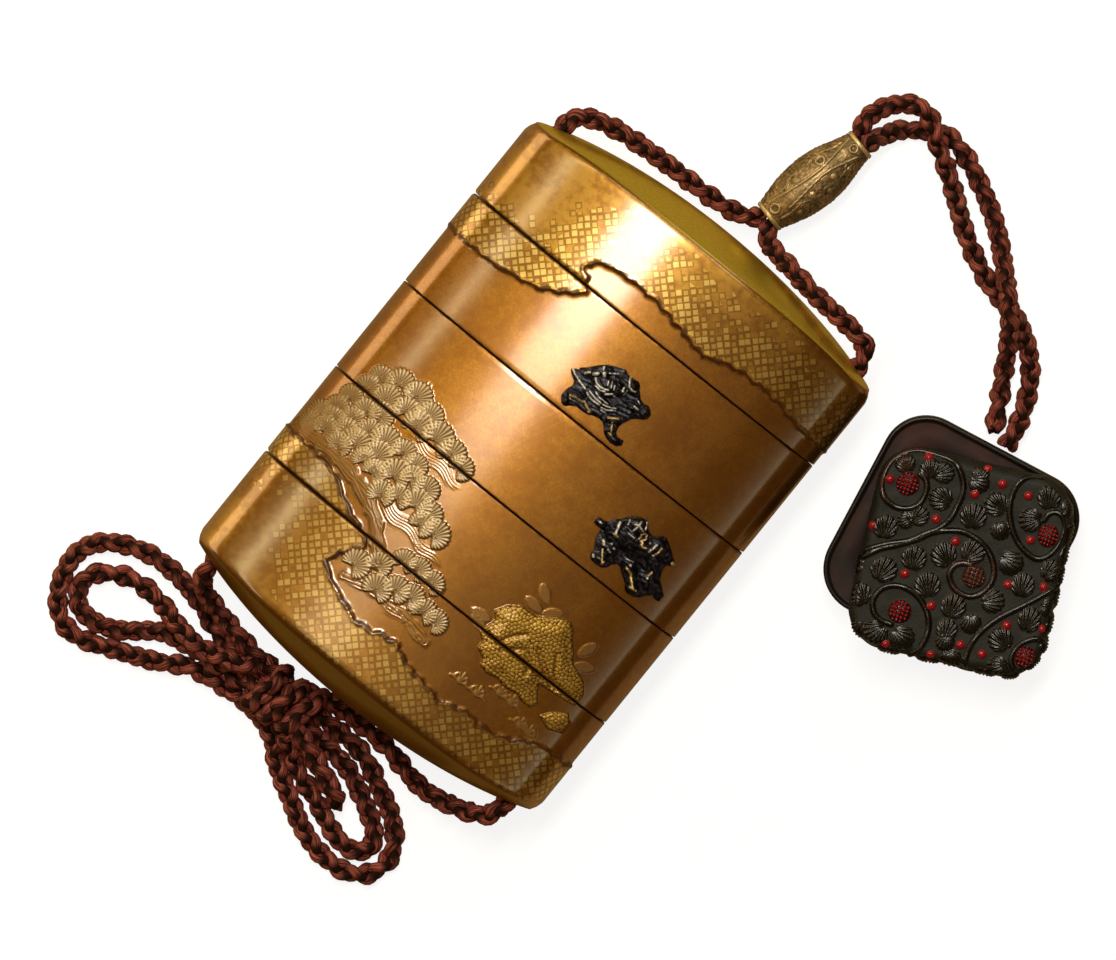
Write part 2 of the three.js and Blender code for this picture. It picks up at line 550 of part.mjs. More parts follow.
// Height of the front half's carved ground: level in the middle, rounding down to the edge.
function groundHeight(x, y) {
  const beyondX = Math.abs(x) - (TOGGLE.half - TOGGLE.corner);
  const beyondY = Math.abs(y) - (TOGGLE.half - TOGGLE.corner);
  const outside = Math.hypot(Math.max(beyondX, 0), Math.max(beyondY, 0));
  const inset = TOGGLE.corner - outside - Math.min(Math.max(beyondX, beyondY), 0);
  const fall = Math.min(1, Math.max(0, 1 - inset / FRONT.edge));
  return FRONT.top - FRONT.edge * (1 - Math.sqrt(1 - fall ** 2));
}

// Vine scrolls: centre, radius at both ends, start angle and sweep in degrees.
const SCROLLS = [
  [-9.3, 9.3, 7.2, 2.3, -60, 390],
  [10.2, 7.2, 8.2, 2.6, 120, 325],
  [1.5, -0.8, 7.2, 1.9, 140, -370],
  [-7.7, -9.5, 5.4, 3.3, -70, 270],
  [11.3, -11.5, 11.4, 6.9, 72, 126],
  [11.3, -11.2, 4.4, 2.2, 40, 150],
];
const SEED_HEADS = [[-10.6, 9.1], [10.9, 6.6], [1.8, -1.3], [-7.5, -8.6], [11.8, -11.3]];
// Leaves: place and the way each one opens, in degrees.
const LEAVES = [
  [-11.4, 12.8, 60], [-6.6, 12.4, 20], [-5.4, 8.7, -80], [-8.4, 4.9, 120], [-12.1, 2.6, 40],
  [-0.4, 12.6, 10], [2.6, 9.4, 150], [-0.2, 6.6, 90], [4.1, 5.4, -30], [-7.4, -0.6, 60],
  [-3.1, 0.4, 170], [1.5, 2.5, 30], [6.7, 2.0, 200], [10.1, 12.4, 100], [7.9, 8.7, -60],
  [12.6, 2.2, 30], [-10.9, -3.8, 80], [-4.2, -4.7, 130], [0.4, -6.2, -90], [5.3, -4.3, 20],
  [3.0, -8.2, 150], [9.4, -1.3, 60], [11.0, -6.0, 100], [13.6, -3.6, 0], [-12.8, -8.2, 150],
  [-9.9, -12.2, 200], [-6.2, -12.2, -20], [-0.2, -10.4, 90], [7.6, -10.4, 120], [1.8, -13.2, -40],
  [7.6, -13.4, 180],
];
const LEAF_RADIUS = 1.6;
const VINE_RADIUS = 0.42;
const SEED_RADIUS = 1.65;

function vineRoute([centreX, centreY, outer, inner, start, sweep]) {
  const steps = Math.max(4, Math.round(Math.abs(sweep) / 45));
  const limit = TOGGLE.half - 0.5;
  return Array.from({ length: steps + 1 }, (_, i) => {
    const angle = degrees(start + (sweep * i) / steps);
    const radius = outer + ((inner - outer) * i) / steps;
    const x = THREE.MathUtils.clamp(centreX + radius * Math.cos(angle), -limit, limit);
    const y = THREE.MathUtils.clamp(centreY + radius * Math.sin(angle), -limit, limit);
    return new THREE.Vector3(x, y, groundHeight(x, y) + 0.12);
  });
}

// How far a leaf at this place can grow before it meets a vine.
function roomFor(x, y, vines) {
  const place = new THREE.Vector3(x, y, groundHeight(x, y) + 0.12);
  const nearest = new THREE.Vector3();
  const gaps = vines.flatMap((route) =>
    route.slice(1).map((end, i) => {
      new THREE.Line3(route[i], end).closestPointToPoint(place, true, nearest);
      return nearest.distanceTo(place);
    }),
  );
  return Math.min(LEAF_RADIUS, Math.min(...gaps) - VINE_RADIUS);
}

function toggleFront() {
  const soft = softBlock(FRONT.bottom - 4, FRONT.top, FRONT.edge, 2);
  const ground = meet(soft, block([-30, -30, FRONT.bottom], [30, 30, 30]));
  const vines = SCROLLS.map(vineRoute);
  const carving = vines.map((route) => tube(route, route.map(() => VINE_RADIUS), 4));
  for (const [x, y, opens] of LEAVES) {
    const room = roomFor(x, y, vines);
    if (room < 0.9) continue;
    const leaf = flutedFan(room, 2, 1.0, 8).rotateZ(degrees(opens));
    carving.push(solid(leaf.translate(x, y, groundHeight(x, y) + 0.35)));
  }
  for (const [x, y] of SEED_HEADS) {
    const head = new THREE.SphereGeometry(SEED_RADIUS, 8, 4).rotateX(Math.PI / 2).scale(1, 1, 0.6);
    carving.push(solid(head.translate(x, y, groundHeight(x, y))));
  }
  return placed(join(ground, ...carving), FRONT);
}

// ---- Materials ----
const finish = (color, roughness, metalness) =>
  new THREE.MeshStandardMaterial({ color, roughness, metalness });
const goldLacquer = finish(0xa97a2c, 0.35, 0.6);
const darkMetal = finish(0x23222a, 0.4, 0.8);
const silk = finish(0x5a2620, 0.7, 0.0);
const oldBrass = finish(0x8f7a48, 0.4, 0.8);
const brownLacquer = finish(0x3a2420, 0.35, 0.0);
const blackLacquer = finish(0x1d1d19, 0.3, 0.0);

// ---- The object ----
const group = new THREE.Group();

function add(name, shape, material) {
  const mesh = new THREE.Mesh(geometryOf(shape), material);
  mesh.name = name;
  group.add(mesh);
}

const body = closedBody();
const half = JOINT_GAP / 2;
const [upper, middle, lower, base] = JOINTS;
const floorIn = (joint) => {
  const low = joint + half + RECESS_DEPTH;
  return { floorLow: low, floorHigh: low + FLOOR_THICK, riser: true };
};
add("lid", tier(body, upper + half, 60, { floorLow: LID_CEILING, riser: false }), goldLacquer);
add("case_upper", tier(body, middle + half, upper - half, floorIn(middle)), goldLacquer);
add("case_middle", tier(body, lower + half, middle - half, floorIn(lower)), goldLacquer);
add("case_lower", tier(body, base + half, lower - half, floorIn(base)), goldLacquer);
const baseInside = { floorLow: -60, floorHigh: BASE_FLOOR, riser: true };
add("base_case", tier(body, -60, base - half, baseInside), goldLacquer);

add("figure_upper", metalFigure(UPPER_FIGURE, 1.8, 14.3), darkMetal);
add("figure_lower", metalFigure(LOWER_FIGURE, 18.6, -1.2), darkMetal);

const channelRun = (side) => [[side * CHANNEL_X, -41, MID_Z], [side * CHANNEL_X, 41, MID_Z]];
const slim = 0.72;
add(
  "cord_left",
  cord(
    [LEFT_FOOT, 3, CORD_RADIUS],
    [channelRun(-1), 1, CORD_RADIUS],
    [LEFT_SHOULDER, 5, CORD_RADIUS],
    [[LEFT_SHOULDER.at(-1), LEFT_BORE[0]], 1, slim],
    [LEFT_BORE, 1, slim],
    [[LEFT_BORE[1], OVER_STRAND[0]], 1, CORD_RADIUS],
    [OVER_STRAND, 12, CORD_RADIUS],
  ),
  silk,
);
add(
  "cord_right",
  cord(
    [RIGHT_FOOT, 5, CORD_RADIUS],
    [channelRun(1), 1, CORD_RADIUS],
    [RIGHT_SHOULDER, 5, CORD_RADIUS],
    [[RIGHT_SHOULDER.at(-1), RIGHT_BORE[0]], 1, slim],
    [RIGHT_BORE, 1, slim],
    [[RIGHT_BORE[1], UNDER_STRAND[0]], 1, CORD_RADIUS],
    [UNDER_STRAND, 12, CORD_RADIUS],
  ),
  silk,
);
const LOOPS = {
  bow_left_outer: [LEFT_OUTER_LOOP, 11],
  bow_left_inner: [LEFT_INNER_LOOP, 11],
  bow_right_outer: [RIGHT_OUTER_LOOP, 11],
  bow_right_inner: [RIGHT_INNER_LOOP, 9],
  bow_tucked_fold: [TUCKED_FOLD, 6],
};
for (const [name, [route, steps]] of Object.entries(LOOPS)) {
  add(name, cord([route, steps, CORD_RADIUS]), silk);
}
add("bow_knot", bowKnot(), silk);
add("cord_bead", bead(), oldBrass);
add("toggle_back", toggleBack(), brownLacquer);
add("toggle_front", toggleFront(), blackLacquer);

export default group;
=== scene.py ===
# %% [markdown]
# # An inro: a nest of gold lacquer boxes on a silk cord
# An inro hangs from a sash. Its lid, three cases and base fit over one another on thin risers, and a
# single silk cord runs up both narrow sides, through a bead, and ends in a carved toggle. The solids
# of every piece are already packed. This notebook dresses them: each piece gets its real surface,
# relief and finish, in the same place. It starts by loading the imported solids.

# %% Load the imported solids
import math

import bmesh
import bpy
import numpy as np
from mathutils import Matrix, Vector


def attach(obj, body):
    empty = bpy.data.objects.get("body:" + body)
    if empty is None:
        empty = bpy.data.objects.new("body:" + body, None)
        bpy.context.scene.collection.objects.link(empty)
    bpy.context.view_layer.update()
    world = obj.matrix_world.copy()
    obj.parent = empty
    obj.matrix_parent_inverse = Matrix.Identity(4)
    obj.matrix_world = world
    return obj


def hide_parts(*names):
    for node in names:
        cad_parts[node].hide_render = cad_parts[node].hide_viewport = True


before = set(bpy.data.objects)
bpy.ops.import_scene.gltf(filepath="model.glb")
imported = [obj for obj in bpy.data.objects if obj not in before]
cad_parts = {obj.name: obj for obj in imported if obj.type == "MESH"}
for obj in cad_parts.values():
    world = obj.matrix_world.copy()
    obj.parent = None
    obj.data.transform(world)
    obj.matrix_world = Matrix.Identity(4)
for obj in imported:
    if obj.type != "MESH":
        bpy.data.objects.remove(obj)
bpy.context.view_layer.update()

MM = 0.001
print("solids loaded:", len(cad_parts))


def into_scene(name, data):
    made = bpy.data.objects.new(name, data)
    bpy.context.scene.collection.objects.link(made)
    return made


# %% [markdown]
# ## The camera
# The case lies on its back with the camera almost straight above it, a little towards the lid, and
# turned so that the case leans to the left. A long lens keeps the sides nearly parallel.

# %% Camera
AIM = Vector((0.00396, 0.00057, 0.011))
CAMERA_DISTANCE = 2.0
CAMERA_HEIGHT = math.radians(87.4)
CAMERA_RIGHT = Vector((0.7777, 0.6286, 0.0))
LENS = 451.8

back = Vector((0.0, math.cos(CAMERA_HEIGHT), math.sin(CAMERA_HEIGHT)))
right = (CAMERA_RIGHT - back * CAMERA_RIGHT.dot(back)).normalized()
up = back.cross(right)
camera = bpy.data.cameras.new("camera")
camera.lens = LENS
camera.sensor_width = 36.0
camera_object = into_scene("camera", camera)
camera_object.matrix_world = Matrix.Translation(AIM + back * CAMERA_DISTANCE) @ (
    Matrix((right, up, back)).transposed().to_4x4()
)
bpy.context.scene.camera = camera_object
print("camera at", [round(value, 3) for value in camera_object.matrix_world.translation])

# %% [markdown]
# ## Keeping a piece
# Every finished mesh is in metres and in its own place. One helper gives it its finish, hides the
# solids it stands for, and lets it ride with the object. The others take a mesh out of a bmesh, and
# read or write what its points carry.


# %% Read and write a mesh
def mesh_of(name, bm):
    mesh = bpy.data.meshes.new(name)
    bm.to_mesh(mesh)
    bm.free()
    return mesh


def read_places(mesh):
    places = np.zeros(3 * len(mesh.vertices))
    mesh.vertices.foreach_get("co", places)
    return places.reshape(-1, 3)


def put_places(mesh, places):
    """Give each point its place, from millimetres."""
    mesh.vertices.foreach_set("co", (places * MM).ravel())
    mesh.update()


def take_numbers(mesh, name):
    """Read the whole numbers that the modelling left on the points, and drop them."""
    numbers = np.zeros(len(mesh.vertices), dtype=np.int32)
    mesh.attributes[name].data.foreach_get("value", numbers)
    mesh.attributes.remove(mesh.attributes[name])
    return numbers


def mark_points(mesh, marks):
    for name, values in marks.items():
        mesh.attributes.new(name, "FLOAT", "POINT").data.foreach_set("value", values)


def corner_points(mesh):
    corners = np.zeros(len(mesh.loops), dtype=np.int32)
    mesh.loops.foreach_get("vertex_index", corners)
    return corners


def lay_flat(mesh, name, along, up):
    """A UV map in millimetres, from one pair of numbers for each corner."""
    mesh.uv_layers.new(name=name).data.foreach_set("uv", np.stack([along, up], axis=1).ravel())


# %% Keep a piece
def keep(name, mesh, finish, slot, *nodes):
    piece = into_scene(name, mesh)
    mesh.materials.clear()
    mesh.materials.append(finish.material)
    mesh.shade_smooth()
    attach(piece, "root")
    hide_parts(*nodes)
    print(name, "faces:", len(mesh.polygons))
    return piece


# %% [markdown]
# ## The cord's route
# The whole cord is one length of silk braid. It leaves the toggle, crosses itself, runs through the
# bead, over the lid's dome, down the left side of the case, and makes the bow. Then it goes up the
# right side and back through the bead to the toggle. The route is a list of places in millimetres,
# because a braid is laid by hand and no formula gives its curves. A place that has no height lies
# on the ground.

# %% The route: toggle, bead and shoulders
MID_Z = 10.85
LIE_Z = 1.35
BEAD_Z = 4.2
CHANNEL_X = 27
BEAD_START = np.array([3.7, 48.4])
BEAD_END = np.array([7.5, 65.1])
OVER_STRAND = [
    (6, 67, BEAD_Z), (6.1, 69.6, 4.4), (7.4, 72, 4.6), (9.3, 73.8, 4.8), (11.8, 74.4, 4.8),
    (14.4, 73.1, 4.5), (17.1, 71.2, 3), (19.9, 69.5, 1.7), (23.2, 67.2), (25.6, 65.4), (28.4, 63.6),
    (31, 62.3), (33.9, 61), (37.1, 60.2), (40.6, 59.4), (43.3, 58), (45.9, 55.9), (48, 53.2),
    (49.4, 50.2, 1.6), (50.4, 47.4, 2.4), (50.9, 44.4, 3),
]
UNDER_STRAND = [
    (8.5, 66.2, BEAD_Z), (9.4, 68.2, 2.8), (10.6, 70, 1.7), (12.4, 71.4), (14.6, 73.1), (17.3, 73.6),
    (20.7, 72.8), (24.5, 71.1), (28.5, 68.9), (31.9, 66.4, 1.6), (34.8, 63.8, 3), (37.6, 61.2, 4.3),
    (40, 58.6, 4.2), (42, 55.8, 2.8), (43.7, 52.8, 1.6), (45.3, 50, 1.6), (46.9, 47.2, 2.4),
    (48.1, 44.9, 3),
]
LEFT_BORE = [(2.9, 48.7, BEAD_Z), (4.2, 54.1, BEAD_Z), (5.6, 59.5, BEAD_Z), (6.9, 64.9, BEAD_Z)]
RIGHT_BORE = [(4.5, 48.3, BEAD_Z), (5.8, 53.7, BEAD_Z), (7.1, 59.2, BEAD_Z), (8.4, 64.6, BEAD_Z)]
LEFT_SHOULDER = [
    (-27, 38, MID_Z), (-27, 41, MID_Z), (-26.2, 42.8, 10.6), (-23.6, 44.1, 9.9), (-19.8, 44.9, 8.8),
    (-15.7, 45.2, 7.8), (-11.4, 45.4, 6.8), (-6.8, 45.5, 5.7), (-2.7, 45.7, 4.7), (0.4, 46.3, 4.2),
    (2.2, 47.2, 4.2),
]
RIGHT_SHOULDER = [
    (27, 38, MID_Z), (27, 41, MID_Z), (26.2, 42.8, 11.2), (23.8, 43.6, 12.2), (21, 43.9, 12.9),
    (17.8, 44.1, 12.9), (14.4, 44.4, 12.1), (11.2, 44.9, 10.4), (8.4, 45.2, 8.2), (6.2, 45.7, 6.2),
    (5, 46.7, 4.8),
]
CHANNEL = [-34, -20, 0, 20, 34]

# %% The route: feet and the loops of the bow
LEFT_FOOT = [
    (-20.4, -45.3, 5.4), (-22.6, -44.7, 5.9), (-24.9, -44, 7.2), (-26.5, -42.8, 9.2), (-27, -41, MID_Z),
    (-27, -38, MID_Z),
]
RIGHT_FOOT = [
    (1.2, -44.9, 2), (5.5, -44.95, 2), (9.6, -45.2, 2), (13.2, -46.1, 2.3), (17.1, -46.5, 3.2),
    (21.1, -45.7, 5), (24.2, -44.5, 7.2), (26.3, -43, 9.3), (27, -41, MID_Z), (27, -38, MID_Z),
]
LEFT_OUTER_LOOP = [
    (-20.6, -47.6, 1.6), (-24.3, -46.1), (-27.1, -45.4), (-30, -44.9), (-32.8, -44.8), (-35.7, -45.2),
    (-38.5, -46.2), (-40.9, -47.6), (-42.7, -49.8), (-43.3, -52.2), (-42.9, -54.8), (-41.6, -57.8),
    (-39.3, -60.2), (-36.4, -60.9), (-33.5, -60.2), (-30.7, -59), (-27.1, -57.6), (-23.5, -55.9),
    (-20.4, -54, 1.6),
]
LEFT_INNER_LOOP = [
    (-20.6, -50.6, 4.6), (-23.5, -50.6, 4.4), (-26, -50.2, 3.4), (-28.5, -49.6, 1.9), (-31.4, -49.2),
    (-34.3, -49.3), (-36.8, -50.2), (-38.8, -51.6), (-39.9, -53.2), (-39.9, -55.1), (-38.9, -56.7),
    (-37.1, -57.6), (-34.5, -57.5), (-32.3, -56.7), (-30.2, -55.4), (-28.2, -53.7), (-26, -52.4),
    (-23.3, -51.9), (-20.6, -51.4),
]
RIGHT_OUTER_LOOP = [
    (1.2, -47.8), (5.5, -47.9), (8.6, -48.8), (11.6, -50.4), (15.2, -52.2), (18.1, -54.8),
    (19.3, -57.9), (18.4, -60.9), (16, -62.7), (12.6, -63.2), (9.1, -62.7), (5.5, -61.3), (3.3, -60),
    (-0.2, -58.1), (-2.8, -56.3), (-4.6, -54.6),
]
RIGHT_INNER_LOOP = [
    (1.2, -50.6), (3.8, -50.7), (6.8, -51.3), (10.1, -52.8), (13.1, -54.4), (15.4, -56.1),
    (16.1, -58.2), (14.8, -59.7), (12.2, -60), (9.3, -59.1), (6.2, -57.7), (3.3, -56.7), (0.9, -55.8),
    (-0.7, -54.6, 1.6),
]
TUCKED_FOLD = [
    (2.3, -53, 4.4), (3.9, -53.7, 4.3), (5.8, -54.5, 4.2), (7.5, -55.2, 3.8), (8.3, -55.6, 2.8),
    (7.5, -55.3, 1.75), (5.8, -54.5), (3.9, -53.8), (2.4, -53.3),
]

# %% [markdown]
# ## Inside the knot
# The bow's loops meet in a knot. Four runs of cord lie side by side along it, and the cord turns
# three times round them. The turns are a helix squeezed flat against the ground.

# %% The route: inside the knot
TURN_CENTRE = (-49.3, 3.7)
TURN_REACH = (3.3, 2.5)
TURN_START = -2.2
TURN_PITCH = -3.0
TURNS = 3.25


def turns_round_the_knot():
    places = []
    steps = int(TURNS * 10)
    for step in range(steps + 1):
        angle = -math.pi / 2 + 2 * math.pi * step / 10
        x = TURN_START + TURN_PITCH * step / 10
        y = TURN_CENTRE[0] + TURN_REACH[0] * math.cos(angle)
        z = TURN_CENTRE[1] + TURN_REACH[1] * math.sin(angle)
        places.append((x, y, max(LIE_Z, z)))
    return places


TOP_RUN = [(-16.6, -46, 5.6), (-12, -46.9, 4.6), (-7.5, -47.2, 3.6), (-3, -47.5, 2.4)]
LOW_RUN = [(-8.2, -53.2, 1.5), (-12.4, -52.9, 1.5), (-16.6, -53.4, 1.5)]
INTO_TURNS = [(-17, -48.2, 3.2), (-12.5, -49.3, 3.6), (-8, -50.4, 3.2), (-4.2, -50.9, 2.2)]
OUT_OF_TURNS = [(-14.6, -48.6, 5.6), (-17.6, -49.8, 5.2)]
MIDDLE_RUN = [(-15.6, -51.2, 2.4), (-10.4, -50.2, 3.2), (-5.2, -49.7, 3), (-1.6, -50.2, 2)]
INNER_BEND = [(-3.4, -53, 3.2), (-3.4, -51.2, 5.2), (-0.8, -51.8, 5)]
FOLD_BACK = [
    (-1.4, -52.2, 2.4), (-6, -50.9, 4.2), (-7.6, -48.2, 4.4), (-4.6, -46, 3.4), (-1.6, -45.2, 2.4),
]

ROUTE = [
    *OVER_STRAND[::-1], *LEFT_BORE[::-1], *LEFT_SHOULDER[::-1],
    *[(-CHANNEL_X, y, MID_Z) for y in CHANNEL[::-1]], *LEFT_FOOT[::-1],
    *TOP_RUN, *RIGHT_OUTER_LOOP, *LOW_RUN, *LEFT_OUTER_LOOP[::-1], *INTO_TURNS,
    *turns_round_the_knot(), *OUT_OF_TURNS, *LEFT_INNER_LOOP, *MIDDLE_RUN, *RIGHT_INNER_LOOP,
    *INNER_BEND, *TUCKED_FOLD, *FOLD_BACK, *RIGHT_FOOT,
    *[(CHANNEL_X, y, MID_Z) for y in CHANNEL], *RIGHT_SHOULDER, *RIGHT_BORE, *UNDER_STRAND,
]
ROUTE = [place if len(place) == 3 else (*place, LIE_Z) for place in ROUTE]
print("places on the route:", len(ROUTE))

# %% [markdown]
# ## A smooth line through the places
# A centripetal Catmull-Rom curve passes through every place and never loops back on itself. It is
# then walked in even steps, because the braid's strands have to advance evenly.


# %% Smooth the route
def smooth_line(places, step, fineness=16):
    points = np.array(places, dtype=float)
    first = 2 * points[0] - points[1]
    last = 2 * points[-1] - points[-2]
    points = np.vstack([first, points, last])
    spans = np.sqrt(np.linalg.norm(np.diff(points, axis=0), axis=1))
    times = np.concatenate([[0.0], np.cumsum(spans)])
    line = []
    for i in range(1, len(points) - 2):
        t = np.linspace(times[i], times[i + 1], fineness, endpoint=False)[:, None]
        near = points[i - 1 : i + 3]
        t0, t1, t2, t3 = times[i - 1 : i + 3]
        a1 = (t1 - t) / (t1 - t0) * near[0] + (t - t0) / (t1 - t0) * near[1]
        a2 = (t2 - t) / (t2 - t1) * near[1] + (t - t1) / (t2 - t1) * near[2]
        a3 = (t3 - t) / (t3 - t2) * near[2] + (t - t2) / (t3 - t2) * near[3]
        b1 = (t2 - t) / (t2 - t0) * a1 + (t - t0) / (t2 - t0) * a2
        b2 = (t3 - t) / (t3 - t1) * a2 + (t - t1) / (t3 - t1) * a3
        line.append((t2 - t) / (t2 - t1) * b1 + (t - t1) / (t2 - t1) * b2)
    line = np.vstack(line + [points[-2:-1]])
    walked = np.concatenate([[0.0], np.cumsum(np.linalg.norm(np.diff(line, axis=0), axis=1))])
    count = int(round(walked[-1] / step)) + 1
    even = np.linspace(0.0, walked[-1], count)
    return even, np.stack([np.interp(even, walked, line[:, axis]) for axis in range(3)], axis=1)


CORD_STEP = 0.42
walked, centre = smooth_line(ROUTE, CORD_STEP)

# %% [markdown]
# ## Braiding the silk
# The real cord is a round braid. Four strands are enough to show its plump lobes, which lie to the
# left and right by turns: two strands wind one way and two the other, and each dips under the ones
# it meets. Each strand is a Blender curve with a round bevel, made into a mesh at the end.

# %% Braid four strands round the route
PITCH = 7.6
STRAND_RING = 0.72
STRAND_DIP = 0.18
STRAND_RADIUS = 0.69
STRAND_SWELL = 0.15
STRAND_SIDES = 8
BORE_SLIMNESS = 0.52


def across_and_above(line):
    along = np.gradient(line, axis=0)
    along /= np.linalg.norm(along, axis=1)[:, None]
    above = np.array([0.0, 0.0, 1.0]) - along * along[:, 2:3]
    above /= np.linalg.norm(above, axis=1)[:, None]
    return np.cross(along, above), above


def slimness(line):
    """The cord is squeezed where both leads share the bead's bore."""
    reach = np.linalg.norm(BEAD_END - BEAD_START)
    way = (BEAD_END - BEAD_START) / reach
    gone = line[:, :2] - BEAD_START
    along, beside = gone @ way, np.abs(gone @ (way[1], -way[0]))
    inside = np.clip(np.minimum(along + 1.2, reach + 1.2 - along) / 1.6, 0.0, 1.0)
    inside = inside * (beside < 2.2)
    return 1.0 - (1.0 - BORE_SLIMNESS) * inside * inside * (3.0 - 2.0 * inside)


across, above = across_and_above(centre)
slim = slimness(centre)
lay = 0.32 * np.sin(walked / 11.0) + 0.25 * np.sin(walked / 4.7 + 1.0) + math.pi / 4
braid = bpy.data.curves.new("cord", "CURVE")
braid.dimensions = "3D"
braid.bevel_depth = STRAND_RADIUS * MM
braid.bevel_resolution = (STRAND_SIDES - 4) // 2
braid.use_fill_caps = True
for strand in range(4):
    way = 1 if strand < 2 else -1
    wound = 2 * math.pi * walked / PITCH + math.pi * (strand % 2)
    angle = way * wound + lay
    rise = way * np.cos(2 * wound)
    reach = (STRAND_RING + STRAND_DIP * rise) * slim
    line = centre + reach[:, None] * (
        np.cos(angle)[:, None] * above + np.sin(angle)[:, None] * across
    )
    line[:, 2] = np.maximum(line[:, 2], STRAND_RADIUS * (1.0 + STRAND_SWELL) + 0.02)
    spline = braid.splines.new("POLY")
    spline.points.add(len(line) - 1)
    flat = np.column_stack([line * MM, np.ones(len(line))])
    spline.points.foreach_set("co", flat.ravel())
    spline.points.foreach_set("radius", slim * (1.0 + STRAND_SWELL * rise))
braid_object = into_scene("cord", braid)
bpy.context.view_layer.update()
cord_mesh = bpy.data.meshes.new_from_object(braid_object.evaluated_get(
    bpy.context.evaluated_depsgraph_get()
))
bpy.data.objects.remove(braid_object)
cord_mesh.name = "silk_braid"
print("vertices of the cord:", len(cord_mesh.vertices))

# %% [markdown]
# ## Shader building
# A material is a tree of nodes. A small class keeps the cells below short: each of its methods adds
# one node, sets or links its inputs, and gives back the socket that carries the answer. The next
# class adds patterns to it, and the last one the surface of a material.


# %% Wire nodes, numbers and colours
class Wires:
    def __init__(self, tree):
        self.tree = tree

    def feed(self, socket, value):
        if isinstance(value, bpy.types.NodeSocket):
            self.tree.links.new(value, socket)
        elif socket.type == "RGBA":
            socket.default_value = (*value, 1.0)
        else:
            socket.default_value = value

    def node(self, kind, inputs=(), **settings):
        made = self.tree.nodes.new("ShaderNode" + kind)
        for name, value in settings.items():
            setattr(made, name, value)
        for name, value in dict(inputs).items():
            self.feed(made.inputs[name], value)
        return made

    def maths(self, operation, *values, clamp=False):
        inputs = dict(enumerate(values))
        return self.node("Math", inputs, operation=operation, use_clamp=clamp).outputs[0]

    def times(self, first, second, clamp=False):
        return self.maths("MULTIPLY", first, second, clamp=clamp)

    def times_plus(self, first, second, more):
        return self.maths("MULTIPLY_ADD", first, second, more)

    def larger(self, first, *others):
        for other in others:
            first = self.maths("MAXIMUM", first, other)
        return first

    def step(self, value, low, high, to_low=0.0, to_high=1.0):
        """A soft step from one level to another, where the value goes from low to high."""
        inputs = {"From Min": low, "From Max": high, "To Min": to_low, "To Max": to_high}
        inputs["Value"] = value
        return self.node("MapRange", inputs, interpolation_type="SMOOTHSTEP").outputs["Result"]

    def blend(self, mask, first, second):
        return self.node("Mix", {0: mask, 6: first, 7: second}, data_type="RGBA").outputs[2]

    def layers(self, ground, *layers):
        """Lay colours over a ground, each through its own mask."""
        for mask, tint in layers:
            ground = self.blend(mask, ground, tint)
        return ground


# %% Wire patterns
class Patterns(Wires):
    def vector(self, operation, *values):
        return self.node("VectorMath", dict(enumerate(values)), operation=operation).outputs[0]

    def scaled(self, vector, factor):
        return self.node("VectorMath", {0: vector, "Scale": factor}, operation="SCALE").outputs[0]

    def turned(self, vector, angle):
        inputs = {"Vector": vector, "Angle": angle}
        return self.node("VectorRotate", inputs, rotation_type="Z_AXIS").outputs[0]

    def split(self, vector):
        return self.node("SeparateXYZ", {0: vector}).outputs

    def millimetres(self):
        return self.scaled(self.node("TexCoord").outputs["Object"], 1 / MM)

    def noise(self, vector, scale, detail, **more):
        inputs = {"Vector": vector, "Scale": scale, "Detail": detail, **more}
        return self.node("TexNoise", inputs).outputs["Fac"]

    def mask(self, name):
        return self.node("Attribute", attribute_name=name).outputs["Fac"]

    def group(self, group, **inputs):
        return self.node("Group", inputs, node_tree=group).outputs


# %% A material and its surface
class Finish(Patterns):
    def __init__(self, name):
        self.material = bpy.data.materials.new(name)
        self.material.use_nodes = True
        super().__init__(self.material.node_tree)
        self.surface = self.tree.nodes["Principled BSDF"].inputs

    def dress(self, sockets):
        for name, value in sockets.items():
            self.feed(self.surface[name], value)

    def bumps(self, height, strength, distance):
        inputs = {"Height": height, "Strength": strength, "Distance": distance}
        self.feed(self.surface["Normal"], self.node("Bump", inputs).outputs["Normal"])


# %% [markdown]
# ## The silk's finish
# Silk floss shines along its threads. The threads are a noise drawn out along each strand: they tint
# it from nearly black to a dusty rose. A painted shade then darkens the gaps between the strands and
# the places where a strand dips under, nearly to black. The cord's own coordinates follow the braid, so
# the threads turn with it.


# %% Give every strand its own thread coordinates
def thread_coordinates(mesh, sides, rings):
    """Round each strand a circle, and along it the distance: no seam anywhere."""
    order = np.arange(len(mesh.vertices))
    ring = (order // sides) % rings
    angle = 2 * math.pi * (order % sides) / sides
    strand = order // (sides * rings)
    values = np.stack([np.cos(angle), np.sin(angle), ring * CORD_STEP * 0.12 + 40.0 * strand], axis=1)
    layer = mesh.attributes.new("threads", "FLOAT_VECTOR", "POINT")
    layer.data.foreach_set("vector", values.ravel())
    out = np.linalg.norm(read_places(mesh) / MM - centre[ring], axis=1) / slim[ring]
    over = np.where(strand < 2, 1.0, -1.0) * np.cos(4 * math.pi * walked[ring] / PITCH)
    # Crest shading is 1 on the outer side of strands that lie over and falls to 0 in the gaps and where a
    # strand dips under; it paints shade into the silk.
    crest_shading = np.clip((out - 1.0) / 0.45, 0.0, 1.0) * np.clip(0.55 + 0.6 * over, 0.0, 1.0)
    mark_points(mesh, {"crest_shading": crest_shading})


print("rings expected:", len(cord_mesh.vertices) / STRAND_SIDES / 4, "of", len(walked))
thread_coordinates(cord_mesh, STRAND_SIDES, len(walked))

